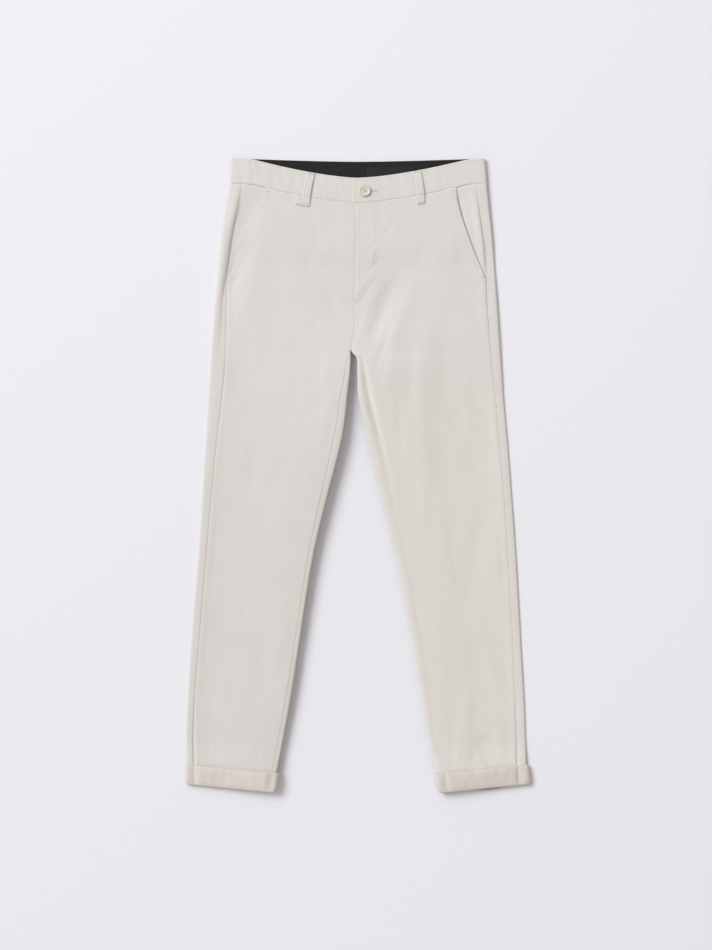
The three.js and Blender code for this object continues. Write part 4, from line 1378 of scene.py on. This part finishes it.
def tape_sewing():
    rows = []
    for h in (LINING["stitch"], LINING["top_stitch"]):
        line = [
            [x, LENGTH / 2 - tape_down(x, h), tape_top(x, h) + 0.1]
            for x in every(5 - LINING["half"], LINING["half"] - 5, 1.6)
        ]
        rows.append(stitches_along(line, 2.2, 1.0))
    return rows


def label_sewing():
    inset_by = 1.6
    low, high, top = LABEL["from"] + inset_by, LABEL["to"] - inset_by, LABEL["top"] + inset_by
    ends = [[(low, 35), (low, top)], [(low, top), (high, top)], [(high, top), (high, 35)]]
    rows = []
    for (x0, d0), (x1, d1) in ends:
        line = []
        for t in np.linspace(0, 1, 40):
            x, d = mix(x0, x1, t), mix(d0, d1, t)
            line.append([x, LENGTH / 2 - d, patch_top(x, d) + 0.05])
        rows.append(stitches_along(line, 2.0, 0.8))
    return rows


thread("panel_sewing", panel_sewing() + fly_sewing(), 0.19)
thread("pocket_tacks", pocket_tacks(), 0.14)
thread("waistband_sewing", band_sewing(), 0.19)
thread("buttonhole", buttonhole(), 0.17)
thread("belt_loop_sewing", loop_sewing(), 0.17)
thread("back_belt_loop_sewing", back_loop_sewing(), 0.17, up=-1.0)
thread("tape_sewing", tape_sewing(), 0.17, DARK_THREAD)
thread("label_sewing", label_sewing(), 0.14, DARK_THREAD)


# Button
BUTTON = {"x": 11.3, "down": 51.2, "rise": 0.9, "face": 2.15, "hole": 0.85, "apart": 2.5, "turn": 20}
BUTTON_FORM = [
    (0, 0), (6.6, 0), (7.8, 0.15), (8.5, 0.5), (8.95, 1.05), (9.1, 1.6), (9.0, 2.15), (8.7, 2.6),
    (8.3, 2.86), (7.85, 2.95), (7.4, 2.88), (7.0, 2.62), (6.65, 2.3), (6.2, 2.12), (5.4, 2.04),
    (3.8, 2.0), (2.0, 2.0), (0, 2.0),
]
BUTTON_SEGMENTS = 72


def button():
    bm = bmesh.new()
    points = [bm.verts.new((r * MM, 0, z * MM)) for r, z in BUTTON_FORM]
    for a, b in zip(points, points[1:]):
        bm.edges.new((a, b))
    bmesh.ops.spin(
        bm, geom=bm.verts[:] + bm.edges[:], cent=(0, 0, 0), axis=(0, 0, 1),
        angle=2 * math.pi, steps=BUTTON_SEGMENTS, use_merge=True,
    )
    bmesh.ops.remove_doubles(bm, verts=bm.verts, dist=1e-6)
    bmesh.ops.recalc_face_normals(bm, faces=bm.faces)
    mesh = bpy.data.meshes.new("four_hole_button")
    bm.to_mesh(mesh)
    bm.free()
    thing = bpy.data.objects.new("four_hole_button", mesh)
    bpy.context.scene.collection.objects.link(thing)
    drill_button(thing)
    for polygon in thing.data.polygons:
        polygon.use_smooth = True
    thing.data.set_sharp_from_angle(angle=math.radians(40))
    seat = surface_z(SIDES["left"], BUTTON["x"], BUTTON["down"]) + BUTTON["rise"]
    for vertex in thing.data.vertices:
        vertex.co.x += BUTTON["x"] * MM
        vertex.co.y += (LENGTH / 2 - BUTTON["down"]) * MM
        vertex.co.z += seat * MM
    dress(thing, "button", "resin", RESIN)
    return seat


def hole_places():
    turn = math.radians(BUTTON["turn"])
    places = []
    for k in range(4):
        a = turn + math.pi / 4 + k * math.pi / 2
        places.append((BUTTON["apart"] * math.cos(a), BUTTON["apart"] * math.sin(a)))
    return places


def drill_button(thing):
    bm = bmesh.new()
    for x, y in hole_places():
        made = bmesh.ops.create_cone(
            bm, cap_ends=True, segments=20, radius1=BUTTON["hole"] * MM,
            radius2=BUTTON["hole"] * 1.1 * MM, depth=6 * MM,
        )
        bmesh.ops.translate(bm, verts=made["verts"], vec=(x * MM, y * MM, 1 * MM))
    mesh = bpy.data.meshes.new("drills")
    bm.to_mesh(mesh)
    bm.free()
    drills = bpy.data.objects.new("drills", mesh)
    bpy.context.scene.collection.objects.link(drills)
    cut = thing.modifiers.new("holes", "BOOLEAN")
    cut.object = drills
    cut.solver = "EXACT"
    graph = bpy.context.evaluated_depsgraph_get()
    cut_mesh = bpy.data.meshes.new_from_object(thing.evaluated_get(graph))
    thing.modifiers.clear()
    thing.data = cut_mesh
    bpy.data.objects.remove(drills)


def button_threads(seat):
    """Two crossed bundles of thread through the four holes, and the shank under them."""
    holes = [np.array([x, y]) for x, y in hole_places()]
    middle = np.array([BUTTON["x"], LENGTH / 2 - BUTTON["down"]])
    pairs = []
    for a, b in ((0, 2), (1, 3)):
        way = (holes[b] - holes[a]) / np.linalg.norm(holes[b] - holes[a])
        across = np.array([-way[1], way[0]])
        for k in (-1, 0, 1):
            ends = [middle + holes[a] + across * 0.3 * k, middle + holes[b] + across * 0.3 * k]
            high = seat + BUTTON["face"] + 0.18 * a
            pairs.append([[*ends[0], high], [*ends[1], high]])
    shank = []
    for k in range(10):
        angle = 2 * math.pi * k / 10
        x, y = middle + 1.5 * np.array([math.cos(angle), math.sin(angle)])
        shank.append([[x, y, seat - 1.0], [x + 0.01, y, seat + 0.4]])
    return [np.array(pairs), np.array(shank)]


button_seat = button()
thread("button_thread", button_threads(button_seat), 0.3)


# Floor, light and camera
def floor():
    mesh = bpy.data.meshes.new("floor")
    half = 4.0
    corners = [(-half, -half, 0), (half, -half, 0), (half, half, 0), (-half, half, 0)]
    mesh.from_pydata(corners, [], [(0, 1, 2, 3)])
    thing = bpy.data.objects.new("floor", mesh)
    bpy.context.scene.collection.objects.link(thing)
    material, _, _, shader = new_material("pale_floor")
    shader.inputs["Base Color"].default_value = (0.80, 0.795, 0.83, 1)
    shader.inputs["Roughness"].default_value = 0.9
    shader.inputs["Specular IOR Level"].default_value = 0.1
    mesh.materials.append(material)
    return thing


def area_light(name, place_at, size, power, color):
    light = bpy.data.lights.new(name, "AREA")
    light.shape = "DISK"
    light.size = size
    light.energy = power
    light.color = color
    thing = bpy.data.objects.new(name, light)
    thing.location = place_at
    direction = -thing.location
    thing.rotation_euler = direction.to_track_quat("-Z", "Y").to_euler()
    bpy.context.scene.collection.objects.link(thing)


def camera():
    frame_height = 1.520
    high = 3.2
    data = bpy.data.cameras.new("camera")
    data.sensor_fit = "VERTICAL"
    data.sensor_height = 24
    data.lens = data.sensor_height * high / frame_height
    thing = bpy.data.objects.new("camera", data)
    thing.location = (-0.0028, 0.0012, high)
    bpy.context.scene.collection.objects.link(thing)
    bpy.context.scene.camera = thing


floor()
area_light("key", (-14.0, 9.0, 15.6), 12.6, 4070, (0.904, 0.953, 1.0))
area_light("top", (-1.3, 2.6, 2.1), 2.0, 12, (1.0, 1.0, 1.0))
world = bpy.data.worlds.new("studio")
world.use_nodes = True
world.node_tree.nodes["Background"].inputs["Color"].default_value = (1.0, 0.943, 0.904, 1)
world.node_tree.nodes["Background"].inputs["Strength"].default_value = 0.53
bpy.context.scene.world = world
bpy.context.scene.view_settings.view_transform = "Standard"
camera()
